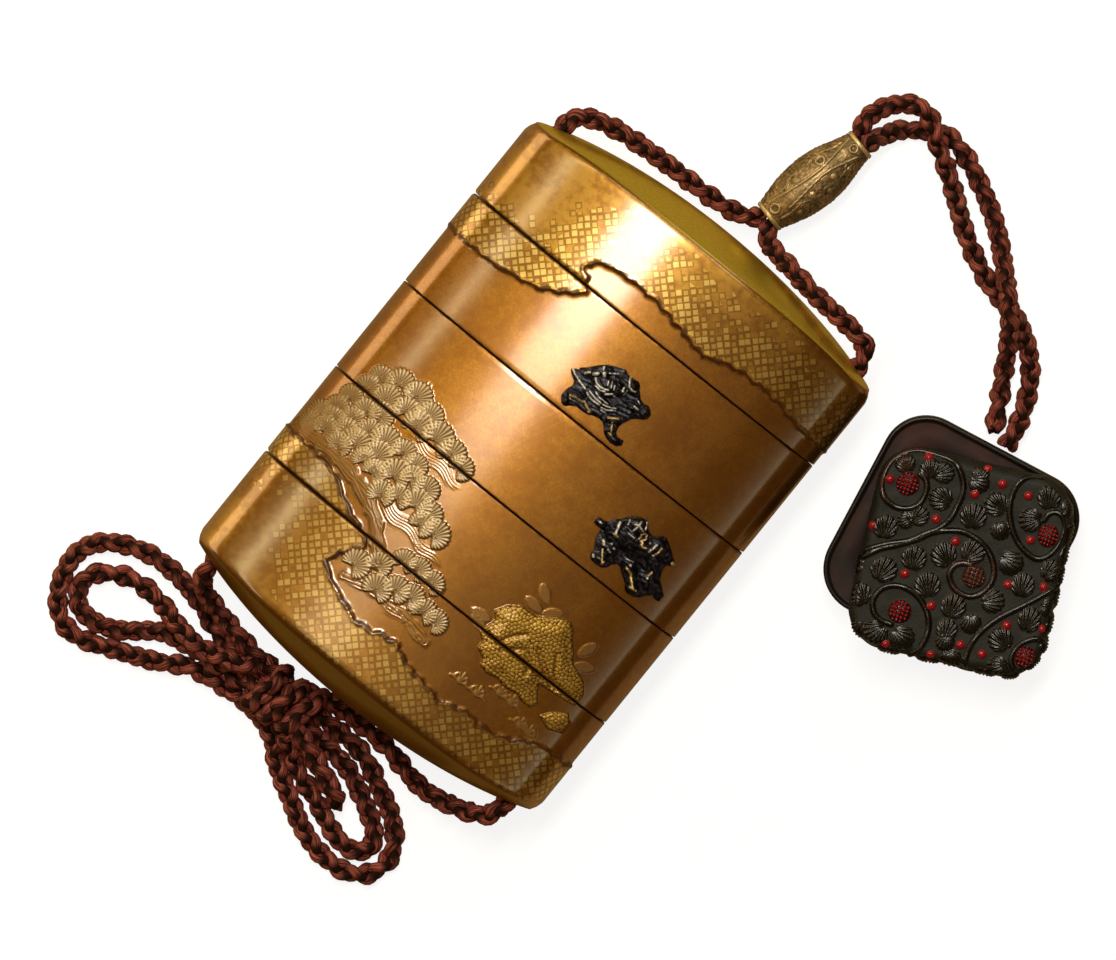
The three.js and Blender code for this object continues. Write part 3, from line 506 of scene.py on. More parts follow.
# %% Silk
silk = Finish("brown_silk")
fine = silk.noise(silk.node("Attribute", attribute_name="threads").outputs["Vector"], 5.5, 3.0)
patch = silk.noise(silk.node("TexCoord").outputs["Object"], 160.0, 2.0)
crest_shading = silk.mask("crest_shading")
dyed_and_shaded = silk.blend(silk.step(fine, 0.36, 0.66), (0.02, 0.004, 0.003), (0.42, 0.098, 0.07))
aged = silk.blend(silk.step(patch, 0.45, 0.75), dyed_and_shaded, (0.24, 0.085, 0.055))
dyed_and_shaded = silk.blend(0.4, dyed_and_shaded, aged)
# Painted shade: the gaps between the strands and the strands that dip under are darkened nearly to black.
dyed_and_shaded = silk.blend(silk.step(crest_shading, 0.3, 1.0), (0.005, 0.0007, 0.0004), dyed_and_shaded)
# The gaps between the strands hold no shine.
shine = silk.times(silk.step(fine, 0.3, 0.7), crest_shading)
silk.dress({
    "Base Color": dyed_and_shaded,
    "Roughness": silk.step(shine, 0.0, 1.0, 0.85, 0.26),
    "Specular IOR Level": 0.45,
    "Specular Tint": (1.0, 0.52, 0.4),
})
silk.bumps(fine, 0.5, 0.00012)

# %% Lay the cord
cord_piece = keep(
    "cord", cord_mesh, silk, "silk_cord",
    "cord_left", "cord_right", "bow_left_outer", "bow_left_inner", "bow_right_outer",
    "bow_right_inner", "bow_tucked_fold", "bow_knot",
)

# %% [markdown]
# ## The shape of the case
# A section across the case is two shallow arcs, front and back, joined by rounded sides. Every ring
# of the mesh has the same number of points, told off in the same order, so any two rings can be
# joined by extruding one into the next. The ring starts in the middle of the back, so its seam
# stays out of sight.

# %% The section, point by point
HALF_WIDTH = 31.0
HALF_DEPTH = 11.15
FACE_RADIUS = 75.0
BACK_STEPS = 22
ROUND_SIDE = (FACE_RADIUS**2 - (FACE_RADIUS - HALF_DEPTH) ** 2 - HALF_WIDTH**2) / (
    2 * (FACE_RADIUS - HALF_WIDTH)
)


def arc_places(half_width, half_depth, face_radius, corner, front, left, right_side):
    """Points of one ring: front holds -1..1 across the face, a side holds 0..1 round its corner."""
    across = half_width - corner
    along = math.sqrt((face_radius - corner) ** 2 - across**2)
    corner_z = half_depth - face_radius + along
    turn = math.pi / 2 - math.atan2(across, along)
    touch = across * face_radius / (face_radius - corner)
    low_face = half_depth - face_radius

    def face(fractions, side):
        x = touch * fractions
        fall = np.sqrt(face_radius**2 - x**2)
        return np.stack([x, side * (low_face + fall), x / face_radius, side * fall / face_radius])

    def rounded(fractions, side, end):
        angle = turn * fractions
        nx = side * np.cos(angle)
        nz = end * np.sin(angle)
        return np.stack([side * across + corner * nx, end * corner_z + corner * nz, nx, nz])

    half_back = np.linspace(0.0, -1.0, BACK_STEPS)
    return np.hstack([
        face(half_back[:-1], -1), rounded(1.0 - left, -1, -1), rounded(left, -1, 1),
        face(front[1:-1], 1), rounded(1.0 - right_side, 1, 1), rounded(right_side, 1, -1),
        face(-half_back[::-1][1:-1], -1),
    ])


print("radius of the narrow sides:", round(ROUND_SIDE, 3))

# %% [markdown]
# ## Domed ends
# The lid and the base end in a shallow dome that is a piece of an ellipsoid, rounded over at the
# narrow sides. One function gives the height of the dome above any place of the section.

# %% The dome
CROWN_Y = 43.35
DOME = (41.8, 15.0, 16.7)
SHOULDER_Y = 38.4
SHOULDER_RADIUS = 1.8
LEAN = math.atan((DOME[1] ** 2 * HALF_WIDTH) / (DOME[0] ** 2 * (SHOULDER_Y - CROWN_Y + DOME[1])))


def crown(x, z):
    inside = np.clip(1.0 - (x / DOME[0]) ** 2 - (z / DOME[2]) ** 2, 0.0, 1.0)
    dome = CROWN_Y - DOME[1] + DOME[1] * np.sqrt(inside)
    start = HALF_WIDTH - SHOULDER_RADIUS
    beyond = np.clip(np.abs(x) - start, 0.0, SHOULDER_RADIUS)
    tangent = SHOULDER_RADIUS * math.tan((math.pi / 2 - LEAN) / 2)
    round_over = SHOULDER_Y - tangent + np.sqrt(SHOULDER_RADIUS**2 - beyond**2)
    on_shoulder = beyond > SHOULDER_RADIUS * math.sin(LEAN)
    return np.where(on_shoulder, np.minimum(dome, round_over), dome)


print("height at the crown and at a shoulder:", crown(np.array([0.0, 31.0]), np.array([0.0, 0.0])))

# %% [markdown]
# ## Relief on the front
# The picture is built up in lacquer: two mist bands with a raised dark edge, a pine with fans of
# needles, a scaly rock with leaves, and tufts of grass. Each is a height above the plain case,
# worked out for every point of the mesh at once, so the relief is part of the wall itself.

# %% Edges of the mist bands
UPPER_MIST = [
    (-31.5, 19.1), (-27, 19), (-22.6, 19.1), (-18.5, 19.8), (-15.4, 20.5), (-11.9, 22.4), (-9.7, 24.2),
    (-10.6, 25.6), (-11.9, 27.1), (-11.2, 28.3), (-9.7, 29.1), (-6.1, 29.6), (-1.1, 29.5), (5.3, 28.4),
    (8.9, 27.8), (13.1, 29.1), (20.3, 29.2), (24.6, 28.4), (31.5, 27.4),
]
LOWER_MIST = [
    (-31.5, -17.5), (-26, -17.8), (-21.1, -18.4), (-17.6, -20.4), (-14, -21.9), (-11.4, -23.4),
    (-12.6, -25.2), (-14.4, -28.4), (-12, -30.3), (-9.7, -31.2), (-5.7, -32.6), (0.6, -31.5),
    (3.1, -32.6), (8.1, -33.6), (11, -34.1), (13.1, -33.1), (18.9, -33.1), (21.7, -32.2), (24.6, -30.5),
    (31.5, -30.2),
]
SCALLOP = 2.6


def mist_edge(places):
    """The smooth edge with its scallops, as closely spaced points."""
    walked, line = smooth_line([(x, y, 0.0) for x, y in places], 0.2)
    beside = across_and_above(line)[0]
    wave = 0.5 - np.abs(np.sin(math.pi * walked / SCALLOP + 1.3 * np.sin(walked / 3.7)))
    ripple = 0.4 * np.sin(walked / 0.37 + 2.0 * np.sin(walked / 1.9))
    size = 0.42 * (0.75 + 0.25 * np.sin(walked / 2.9))
    return (line + beside * (size * (wave + 0.3 * ripple))[:, None])[:, :2]


UPPER_EDGE = mist_edge(UPPER_MIST)
LOWER_EDGE = mist_edge(LOWER_MIST)
print("points on the mist edges:", len(UPPER_EDGE), len(LOWER_EDGE))

# %% [markdown]
# ## Distances
# Most of the relief needs to know how far a point is from a line, and whether it is inside an
# outline. Both answers are worked out for all points together, one stretch of line at a time.


# %% Distance to a line, and a signed distance to an outline
def distance_to(line, x, y):
    nearest = np.full(x.shape, 1e9)
    for (ax, ay), (bx, by) in zip(line[:-1], line[1:]):
        dx, dy = bx - ax, by - ay
        share = np.clip(((x - ax) * dx + (y - ay) * dy) / (dx * dx + dy * dy + 1e-12), 0.0, 1.0)
        gap = (x - ax - share * dx) ** 2 + (y - ay - share * dy) ** 2
        nearest = np.minimum(nearest, gap)
    return np.sqrt(nearest)


def inside_outline(outline, x, y):
    inside = np.zeros(x.shape, dtype=bool)
    for (ax, ay), (bx, by) in zip(outline, np.roll(outline, -1, axis=0)):
        if ay == by:
            continue
        crosses = (ay > y) != (by > y)
        at = ax + (y - ay) * (bx - ax) / (by - ay)
        inside ^= crosses & (x < at)
    return inside


def signed_distance(outline, x, y, edge=None):
    closed = np.vstack([outline, outline[:1]])
    gap = distance_to(closed if edge is None else edge, x, y)
    return np.where(inside_outline(outline, x, y), gap, -gap)


def smooth_between(value, low, high):
    share = np.clip((value - low) / (high - low), 0.0, 1.0)
    return share * share * (3.0 - 2.0 * share)


def round_top(gap):
    """The height of a round top of radius one, this far from its middle."""
    return np.sqrt(np.clip(1.0 - gap**2, 0.0, 1.0))


def along_and_beside(dx, dy, degrees):
    cosine, sine = math.cos(math.radians(degrees)), math.sin(math.radians(degrees))
    return dx * cosine + dy * sine, dy * cosine - dx * sine


# %% How deep a point lies in the mist
def mist_depth(x, y, front):
    depth = np.full(x.shape, -9.0)
    above = np.vstack([UPPER_EDGE, [(32.0, 60.0), (-32.0, 60.0)]])
    below = np.vstack([LOWER_EDGE, [(32.0, -60.0), (-32.0, -60.0)]])
    upper = front & (y > 15.0)
    lower = front & (y < -14.0)
    depth[upper] = signed_distance(above, x[upper], y[upper], UPPER_EDGE)
    depth[lower] = signed_distance(below, x[lower], y[lower], LOWER_EDGE)
    wave = 1.1 * np.sin(x / 3.1) + 0.5 * np.sin(x / 1.1 + 1.0)
    round_back = 1.0 - (x / HALF_WIDTH) ** 2
    high = 19.1 + 8.3 * (x + 31.0) / 62.0 + wave * round_back
    low = -17.5 - 12.7 * (x + 31.0) / 62.0 + wave * round_back
    behind = np.maximum(y - high, low - y)
    return np.where(front, depth, np.clip(behind, -9.0, 60.0))


# %% [markdown]
# ## The pine
# A pine in lacquer is drawn as rows of little fans. Each fan is a shell of needles that spread from
# a root to a scalloped rim, and each row's rims lie over the roots of the row above.

# %% Pine fans: centre and radius
PINE_FANS = [
    (-24.8, -3.2, 1.5), (-22.3, -2, 1.7), (-18.9, -1.9, 1.8), (-16, -3, 1.7), (-25.5, -5.5, 1.5),
    (-22, -5, 1.8), (-19.2, -4.6, 1.6), (-16.3, -5.2, 1.9), (-13, -4.6, 2), (-10.2, -5.2, 1.8),
    (-7.7, -6, 1.6), (-26.5, -8, 1.5), (-23.5, -8.2, 1.6), (-21.3, -7.3, 1.6), (-18.7, -9.8, 1.9),
    (-15.6, -9.4, 1.6), (-12.9, -9.8, 1.5), (-21.4, -10.2, 1.5), (-24.2, -10.4, 1.5), (-27, -10.5, 1.5),
    (-28.6, -12.5, 1.5), (-26.3, -12.2, 1.5), (-24, -12.3, 1.6), (-22, -12.7, 1.8), (-18, -12, 1.8),
    (-14.7, -12.5, 1.9), (-12.2, -11.5, 1.6), (-9.6, -11.4, 1.6), (-28.8, -14.6, 1.4),
    (-26.4, -13.9, 1.5), (-23.4, -14.4, 1.5), (-19.5, -13.8, 1.4), (-17, -14.2, 1.5),
    (-12.2, -14.8, 1.6), (-9.4, -13.8, 1.8), (-7, -13.9, 1.6), (-14.5, -16, 1.7), (-7, -15.7, 1.6),
    (-4.6, -15.5, 1.8), (-5.8, -21.4, 1.5), (-3.2, -21, 1.5), (-0.6, -21.3, 1.5), (-8.3, -24, 1.6),
    (-10.7, -25.9, 1.8), (-6.3, -26.7, 1.8), (-4, -25.2, 1.7), (-1.5, -24.7, 1.6), (1, -25.2, 1.6),
    (3.3, -25.3, 1.5),
]
NEEDLES = 17
FAN_OPENING = math.radians(125)
print("pine fans:", len(PINE_FANS))


# %% Raise the needles
def pine_relief(x, y):
    """Height of the needles, and how close a point is to a needle's ridge."""
    height = np.zeros(x.shape)
    ridge = np.zeros(x.shape)
    for i, (fan_x, fan_y, radius) in enumerate(PINE_FANS):
        lean = math.radians(16 * math.sin(2.3 * i) - 1.2 * (fan_x + 15))
        root_x = fan_x + 0.55 * radius * math.sin(lean)
        root_y = fan_y - 0.55 * radius * math.cos(lean)
        near = (np.abs(x - fan_x) < 1.9 * radius) & (np.abs(y - fan_y) < 1.9 * radius)
        dx = x[near] - root_x
        dy = y[near] - root_y
        reach = np.hypot(dx, dy)
        angle = (np.arctan2(-dx, dy) - lean + math.pi) % (2 * math.pi) - math.pi
        needle = 0.5 + 0.5 * np.cos(angle * NEEDLES * math.pi / FAN_OPENING)
        rim = 1.5 * radius * np.cos(0.42 * angle) * (1.0 + 0.06 * needle)
        share = np.clip(reach / rim, 0.0, 1.0)
        shell = 0.12 + 0.25 * np.sin(0.5 * math.pi * np.minimum(1.1 * share, 1.0)) - 0.08 * share**4
        groove = 0.12 * smooth_between(share, 0.05, 0.5) * (1.0 - needle)
        edge = smooth_between(rim - reach, 0.0, 0.16) * (np.abs(angle) < FAN_OPENING)
        made = (shell - groove) * edge
        taken = made > height[near]
        height[near] = np.where(taken, made, height[near])
        ridge[near] = np.where(taken, needle * (0.35 + 0.65 * share), ridge[near])
    return height, ridge


# %% [markdown]
# ## Branches, combed strokes, rock, leaves and grass
# The trunk and branch are low strips with bark along them. The rock is a bigger mound covered in
# small scales. Leaves and grass are brush strokes, just thick enough to catch the light.

# %% Branches, leaves, grass and combed strokes
BRANCHES = [
    [(-29.6, -16.2), (-25, -16.1), (-20, -16.6), (-16, -17.9), (-12.8, -19.6), (-10.6, -22),
    (-8.6, -24)], [(-11.2, -28.6), (-8, -27.9), (-4.5, -27.6), (-1.5, -27.4), (1, -27.9), (3.6, -28.8)],
]
BRANCH_HALF_WIDTHS = [1.15, 0.85]
BRANCH_RISES = [0.22, 0.09]
LEAVES = [
    (12.7, -12.75, -38), (12.4, -14.9, -8), (15.3, -14.3, 38), (22.4, -15.25, 68), (23.6, -17.5, 28),
    (7.5, -20.7, 4), (7.9, -21.8, -24),
]
LEAF_HALF_LENGTH = 1.65
LEAF_HALF_WIDTH = 0.8
TUFTS = [(11, -29.7), (14, -29.7), (16.5, -27.6), (18.6, -27.7), (21.6, -29.5), (23.2, -29.6)]
BLADES = [(-1.6, 0.35), (-1.0, 1.15), (0.0, 1.6), (1.0, 1.15), (1.6, 0.35)]
BLADE_HALF_WIDTH = 0.19
COMBED = [
    (-11.5, -8, 5.6, 1.2), (-9.5, -17.6, 6.4, 1.3), (-2, -28.1, 7, 0.9), (-4, -18.8, 3, 0.7),
]


# %% Raise the branches and strokes
def branch_relief(x, y):
    height = np.zeros(x.shape)
    for line, half_width, rise in zip(BRANCHES, BRANCH_HALF_WIDTHS, BRANCH_RISES):
        gap = distance_to(line, x, y) * (1.0 + 0.16 * np.sin(2.3 * x + 1.1 * np.sin(1.7 * x)))
        bark = 0.05 * np.cos(2 * math.pi * gap / 0.4 + 2.2 * np.sin(1.3 * x))
        strip = rise * round_top(gap / half_width)
        height = np.maximum(height, strip + bark * smooth_between(half_width - gap, 0.0, 0.3))
    return height


def stroke_relief(x, y):
    height = np.zeros(x.shape)
    for leaf_x, leaf_y, turn in LEAVES:
        along, beside = along_and_beside(x - leaf_x, y - leaf_y, turn)
        beside = beside / LEAF_HALF_WIDTH
        room = 1.0 - (along / LEAF_HALF_LENGTH) ** 2 - np.abs(beside) ** 1.6
        vein = 0.5 + 0.5 * np.cos(2 * math.pi * beside * 2.4)
        height = np.maximum(height, smooth_between(room, 0.0, 0.22) * (0.05 + 0.06 * vein))
    for tuft_x, tuft_y in TUFTS:
        for reach, rise in BLADES:
            share = np.linspace(0.0, 1.0, 6)
            blade = np.stack([tuft_x + reach * share, tuft_y - 0.6 + rise * np.sin(2.5 * share)], axis=1)
            near = (np.abs(x - tuft_x) < 2.2) & (np.abs(y - tuft_y) < 2.2)
            gap = distance_to(blade, x[near], y[near])
            stroke = 0.09 * round_top(gap / BLADE_HALF_WIDTH)
            height[near] = np.maximum(height[near], stroke)
    return height


def combed_relief(x, y):
    height = np.zeros(x.shape)
    for patch_x, patch_y, half_x, half_y in COMBED:
        beside = y - patch_y - 0.35 * np.sin((x - patch_x) / 0.9) + 0.12 * (x - patch_x)
        room = 1.0 - ((x - patch_x) / half_x) ** 2 - (beside / half_y) ** 2
        wave = 0.5 + 0.5 * np.cos(2 * math.pi * beside / 0.42)
        height = np.maximum(height, 0.1 * wave * smooth_between(room, 0.0, 0.5))
    return height


# %% The rock and its scales
ROCK = np.array([
    (8.8, -22.7), (9.4, -20), (8.5, -19), (9.5, -17.3), (11.2, -16.1), (13.5, -16), (15.2, -15),
    (16.8, -13.9), (18, -13.6), (19.2, -14.5), (19.9, -15.6), (21, -16.6), (22, -18), (23.6, -18.7),
    (25, -19.3), (26, -20.8), (26, -22.8), (20.1, -23.4), (21, -24.9), (21.8, -25.8), (21.3, -26.8),
    (19.5, -26.8), (18.5, -26.4), (16.6, -26.8), (14.9, -26.4), (13.2, -26.8), (11.8, -26.4),
    (11.6, -25.5), (10, -24.7), (9.9, -23.6),
])
SMALL_ROCK = np.array([
    (22.8, -26.9), (24, -25.3), (25.2, -24.5), (26, -24.1), (27, -25.2), (26.8, -27), (25.2, -27.7),
])
CREVICES = [
    [(14.2, -18.9), (12.6, -20.6), (11.7, -22.5)], [(15.4, -20.7), (14.2, -21.6), (12.8, -22.8)],
    [(16.8, -19.5), (19, -21), (21.7, -22.7)], [(19.4, -18.4), (20.6, -20.4), (22.4, -22.7)],
    [(15.4, -20.7), (17, -21.6), (17.6, -23.4)],
]
SCALE = 0.62


# %% Raise the rock
def scales(x, y):
    """How far a point is from the border between two scales, on a shaken lattice."""
    nearest = np.full(x.shape, 9.0)
    second = np.full(x.shape, 9.0)
    row = np.floor(y / (0.866 * SCALE))
    for row_step in (-1, 0, 1):
        this_row = row + row_step
        offset = 0.5 * (this_row % 2)
        column = np.floor(x / SCALE - offset)
        for column_step in (-1, 0, 1, 2):
            this_column = column + column_step
            shake = np.sin(this_row * 12.9898 + this_column * 78.233) * 43758.5453
            shake = shake - np.floor(shake)
            middle_x = (this_column + offset + 0.75 * (shake - 0.5)) * SCALE
            middle_y = (this_row + 0.65 * ((shake * 7.0) % 1.0 - 0.5) + 0.4) * 0.866 * SCALE
            reach = np.hypot(x - middle_x, y - middle_y)
            second = np.minimum(second, np.maximum(nearest, reach))
            nearest = np.minimum(nearest, reach)
    return second - nearest


def rock_relief(x, y):
    inside = np.maximum(signed_distance(ROCK, x, y), signed_distance(SMALL_ROCK, x, y))
    crevice = np.minimum.reduce([distance_to(line, x, y) for line in CREVICES])
    mound = 0.34 * smooth_between(inside, 0.0, 0.35) + 0.34 * smooth_between(inside, 0.3, 2.2)
    mound -= 0.26 * (1.0 - smooth_between(crevice, 0.05, 0.55)) * smooth_between(inside, 0.0, 0.3)
    scale_rise = smooth_between(scales(x, y), 0.02, 0.2)
    on_rock = smooth_between(inside, 0.0, 0.15)
    return mound * on_rock + 0.08 * scale_rise * on_rock, scale_rise * on_rock, inside


# %% [markdown]
# ## Adding the relief up
# The heights are laid over one another the way the lacquerer built them: mist first, then the
# branch, the pine and the rock. The masks that the finish needs are kept beside the heights.

# %% All the relief of one place
MIST_HEIGHT = 0.22
BARE = {"needle": -1.0, "rock": -1.0, "wood": 0.0, "stroke": 0.0}


def relief(x, y, front):
    """Height above the plain wall, and the masks for the finish."""
    depth = mist_depth(x, y, front)
    height = MIST_HEIGHT * smooth_between(depth, -0.12, 0.12)
    height += 0.14 * np.exp(-((depth / 0.24) ** 2))
    masks = {key: np.full(x.shape, value) for key, value in BARE.items()}
    masks["mist"] = depth
    carved = front & (y < 0.5) & (y > -31.5)
    if carved.any():
        cx, cy = x[carved], y[carved]
        branch = branch_relief(cx, cy)
        strokes = stroke_relief(cx, cy)
        combed = combed_relief(cx, cy)
        pine, needle = pine_relief(cx, cy)
        rock, scale_rise, inside = rock_relief(cx, cy)
        base = height[carved]
        top = np.maximum.reduce([base, branch, strokes, base + combed, pine, rock])
        height[carved] = top
        masks["needle"][carved] = np.where((pine > 0.02) & (pine >= top - 1e-6), needle, -1.0)
        masks["wood"][carved] = np.where(branch >= top - 1e-6, smooth_between(branch, 0.0, 0.15), 0.0)
        masks["rock"][carved] = np.where((inside > 0) & (rock >= top - 1e-6), scale_rise, -1.0)
        masks["stroke"][carved] = np.maximum(strokes / 0.11, 0.5 * combed / 0.1)
    return height, masks


# %% [markdown]
# ## One tier as a stack of rings
# A lid or a case is one closed shell. It can be walked as a single strip of rings: from the middle
# of the ceiling inside, down to the rim, up the outer wall, over the top and down into the hollow
# of the riser. Blender's edge extrusion makes each ring from the last. Every new point remembers
# its place round the ring and its level in the stack, so it can then be put exactly where it goes.


# %% Turn a stack of rings into a mesh
def extrude_loop(bm, loop, layer, step):
    """Extrude a loop of edges once, and number its new points in the layer."""
    made = bmesh.ops.extrude_edge_only(bm, edges=loop)["geom"]
    for item in made:
        if isinstance(item, bmesh.types.BMVert):
            item[layer] = step
    edges = [item for item in made if isinstance(item, bmesh.types.BMEdge)]
    return [edge for edge in edges if edge.verts[0][layer] == step == edge.verts[1][layer]]


def stack_rings(name, rings):
    bm = bmesh.new()
    place = bm.verts.layers.int.new("place")
    level = bm.verts.layers.int.new("level")
    first = bmesh.ops.create_circle(bm, segments=len(rings[0]["x"]), radius=1.0)["verts"]
    for i, vertex in enumerate(first):
        vertex[place] = i
    loop = list(bm.edges)
    bmesh.ops.edgeloop_fill(bm, edges=loop)
    for k in range(1, len(rings)):
        loop = extrude_loop(bm, loop, level, k)
    bmesh.ops.edgeloop_fill(bm, edges=loop)
    mesh = mesh_of(name, bm)
    set_places(mesh, rings)
    return mesh


def set_places(mesh, rings):
    place = take_numbers(mesh, "place")
    level = take_numbers(mesh, "level")

    def gather(values):
        return np.stack(list(values))[level, place]

    points = [gather(ring[key] for ring in rings) for key in ("x", "y", "z")]
    put_places(mesh, np.stack(points, axis=1))
    mark_points(mesh, {
        key: gather(ring["masks"][key] for ring in rings) for key in rings[0]["masks"]
    })
    # Where the last point of a ring meets its first, the map has to run on.
    corners = corner_points(mesh)
    sizes = np.zeros(len(mesh.polygons), dtype=np.int32)
    mesh.polygons.foreach_get("loop_total", sizes)
    owner = np.repeat(np.arange(len(sizes)), sizes)
    at_end = np.zeros(len(sizes), dtype=bool)
    np.logical_or.at(at_end, owner, place[corners] == len(rings[0]["x"]) - 1)
    wraps = at_end[owner] & (place[corners] == 0)
    along = gather(ring["arc"] for ring in rings)[corners] + wraps * 2 * abs(rings[0]["arc"][0])
    lay_flat(mesh, "lacquer", along, gather(ring["run"] for ring in rings)[corners])


# %% [markdown]
# ## How fine the mesh is, and where
# Points are close together where there are needles or scales, and far apart on plain lacquer. Each
# tier gets its own list of places across the front.

# %% Places across the front and round the sides
TOUCH = (HALF_WIDTH - ROUND_SIDE) * FACE_RADIUS / (FACE_RADIUS - ROUND_SIDE)


def spaced_out(low, high, stretches, digits, least):
    """Places from low to high; each stretch is (from, to, spacing)."""
    places = [low, high]
    for start, end, spacing in stretches:
        start, end = max(start, low), min(end, high)
        places += list(np.linspace(start, end, max(2, int(round((end - start) / spacing)) + 1)))
    places = np.unique(np.round(places, digits))
    return places[np.concatenate([[True], np.diff(places) > least])]


def across_front(*stretches):
    """Shares of the way from the middle of the front to where it turns round the side."""
    return spaced_out(-TOUCH, TOUCH, stretches, 4, 0.02) / TOUCH


PLAIN_FRONT = across_front((-27, 27, 0.28))
PLAIN_SIDE = np.linspace(0.0, 1.0, 22)
FINE_SIDE = np.concatenate([np.linspace(0.0, 0.4, 8, endpoint=False), np.linspace(0.4, 1.0, 38)])
WALL = 1.8
HOLLOW_HALF = 24.2
HOLLOW_CORNER = 2.5


def section_rings(front, left, right_side):
    plan = (front, left, right_side)
    outside = arc_places(HALF_WIDTH, HALF_DEPTH, FACE_RADIUS, ROUND_SIDE, *plan)

    def inner(inset, side_inset):
        return arc_places(
            HOLLOW_HALF - side_inset, HALF_DEPTH - WALL - inset, FACE_RADIUS - WALL - inset,
            HOLLOW_CORNER - side_inset / 2, *plan,
        )

    return outside, inner(0.0, 0.0), inner(0.2, 0.2), inner(1.2, 1.2)


# %% Rings of the walls
PLAIN = {"mist": -9, "needle": -9, "rock": -9, "wood": 0, "stroke": 0, "crown": 0, "hollow": 0, "edge": 9}


def plain_masks(count, **marks):
    return {key: np.full(count, float(value)) for key, value in {**PLAIN, **marks}.items()}


def arc_of(section):
    steps = np.hypot(np.diff(section[0]), np.diff(section[1]))
    walked = np.concatenate([[0.0], np.cumsum(steps)])
    total = walked[-1] + math.hypot(section[0][0] - section[0][-1], section[1][0] - section[1][-1])
    return walked - total / 2


def all_round(value, x):
    """One number, or one for each point, as one for each point."""
    return np.broadcast_to(np.asarray(value, dtype=float), x.shape)


def plain_ring(section, arc, height, inset=0.0, **marks):
    x, z, nx, nz = section
    y = all_round(height, x)
    level = np.maximum(MID_Z + z - nz * inset, 0.0)
    masks = plain_masks(len(x), **marks)
    return {"x": x - nx * inset, "y": y, "z": level, "arc": arc, "run": y, "masks": masks}


def outer_ring(section, arc, height, inset, gap, worn=None):
    x, z, nx, nz = section
    y = all_round(height, x)
    rise, marks = relief(x, y, z > -1e-6)
    rise = rise * np.clip(gap / 0.3, 0.0, 1.0) - inset
    masks = plain_masks(len(x))
    masks.update(marks)
    masks["edge"] = all_round(gap if worn is None else worn, x)
    level = np.maximum(MID_Z + z + nz * rise, 0.0)
    return {"x": x + nx * rise, "y": y, "z": level, "arc": arc, "run": y, "masks": masks}


# %% [markdown]
# ## From rings to the five tiers
# The wall runs between two edges. At a joint the edge is softened by a small quarter round. At a
# domed end the wall stops at the height of the dome, and the dome closes towards its middle.

# %% Walls and domes
JOINTS = [25.07, 9.07, -6.57, -22.2]
JOINT_GAP = 0.2
SOFT = 0.12
DOME_SOFT = 0.35
RISER_HEIGHT = 4.2
# Each tier has a solid floor, this far above its lower joint; the ends are solid from here on.
CEILING_UP = 4.875
FLOOR_UP = 6.075
END_WALL_Y = 37.2
ROUND = [(1.0, 0.0), (0.62, 0.08), (0.3, 0.3), (0.08, 0.62), (0.0, 1.0)]


def wall_between(section, arc, heights, low_edge, high_edge, domed):
    """Outer rings; heights are shares of the way up. Only the edge at a joint wears."""
    low = all_round(low_edge, section[0])
    high = all_round(high_edge, section[0])
    rings = []
    for share in heights:
        from_low = (high - low) * share + SOFT
        from_high = (high - low) * (1.0 - share) + SOFT
        worn = {"low": from_high, "high": from_low, None: np.minimum(from_low, from_high)}[domed]
        gap = np.minimum(from_low, from_high)
        rings.append(outer_ring(section, arc, low + (high - low) * share, 0.0, gap, worn))
    return rings


def dome_rings(section, arc, side):
    x, z, nx, nz = section
    edge = side * crown(x, z)
    rings = []
    for inset_share, along_share in ((0.04, 0.62), (0.16, 0.3), (0.42, 0.06)):
        inset = DOME_SOFT * inset_share
        height = edge - side * DOME_SOFT * along_share
        rings.append(plain_ring(section, arc, height, inset))
    for share in np.concatenate([np.linspace(0.984, 0.9, 5), np.linspace(0.86, 0.04, 18)]):
        near = (x * share, z * share, nx, nz)
        height = side * crown(near[0], near[1])
        gap = (1.0 - share) * 11.0
        ring = plain_ring(near, arc, height, 0.0, crown=1.0, edge=gap)
        ring["run"] = side * (45.0 + (1.0 - share) * 12.0) + 0 * x
        rings.append(ring)
    return rings


# %% Make one tier
def make_tier(low_joint, high_joint, front, left, heights):
    outside, recess, riser, hollow = section_rings(front, left, PLAIN_SIDE)
    arc = arc_of(outside)
    low = None if low_joint is None else low_joint + JOINT_GAP / 2
    high = None if high_joint is None else high_joint - JOINT_GAP / 2
    rings = []
    if low is None:
        rings += dome_rings(outside, arc, -1)[::-1]
        low_edge = -crown(outside[0], outside[1]) + DOME_SOFT
    else:
        ceiling = END_WALL_Y if high is None else low_joint + CEILING_UP
        for height, inset in ((ceiling, 0.0), (low + 0.15, 0.0), (low, -0.15)):
            rings.append(plain_ring(recess, arc, height, inset, hollow=1))
        for inset, lift in ROUND:
            rings.append(outer_ring(outside, arc, low + SOFT * lift, SOFT * inset, SOFT * lift))
        low_edge = low + SOFT
    high_edge = crown(outside[0], outside[1]) - DOME_SOFT if high is None else high - SOFT
    domed = "low" if low is None else "high" if high is None else None
    rings += wall_between(outside, arc, heights, low_edge, high_edge, domed)
    if high is None:
        rings += dome_rings(outside, arc, 1)
    else:
        for inset, lift in ROUND[::-1]:
            rings.append(outer_ring(outside, arc, high - SOFT * lift, SOFT * inset, SOFT * lift))
        top = high + RISER_HEIGHT
        floor = -END_WALL_Y if low is None else low_joint + FLOOR_UP
        for section, height, inset in (
            (riser, high, 0.0), (riser, top - 0.2, 0.0), (riser, top, 0.2),
            (hollow, top, -0.2), (hollow, top - 0.2, 0.0), (hollow, floor, 0.0),
        ):
            rings.append(plain_ring(section, arc, height, inset, hollow=1))
    return rings


def shares(low, high, *stretches):
    """Heights up a wall, as shares from low to high."""
    return (spaced_out(low, high, stretches, 3, 0.03) - low) / (high - low)


print("tiers from joints at", JOINTS)

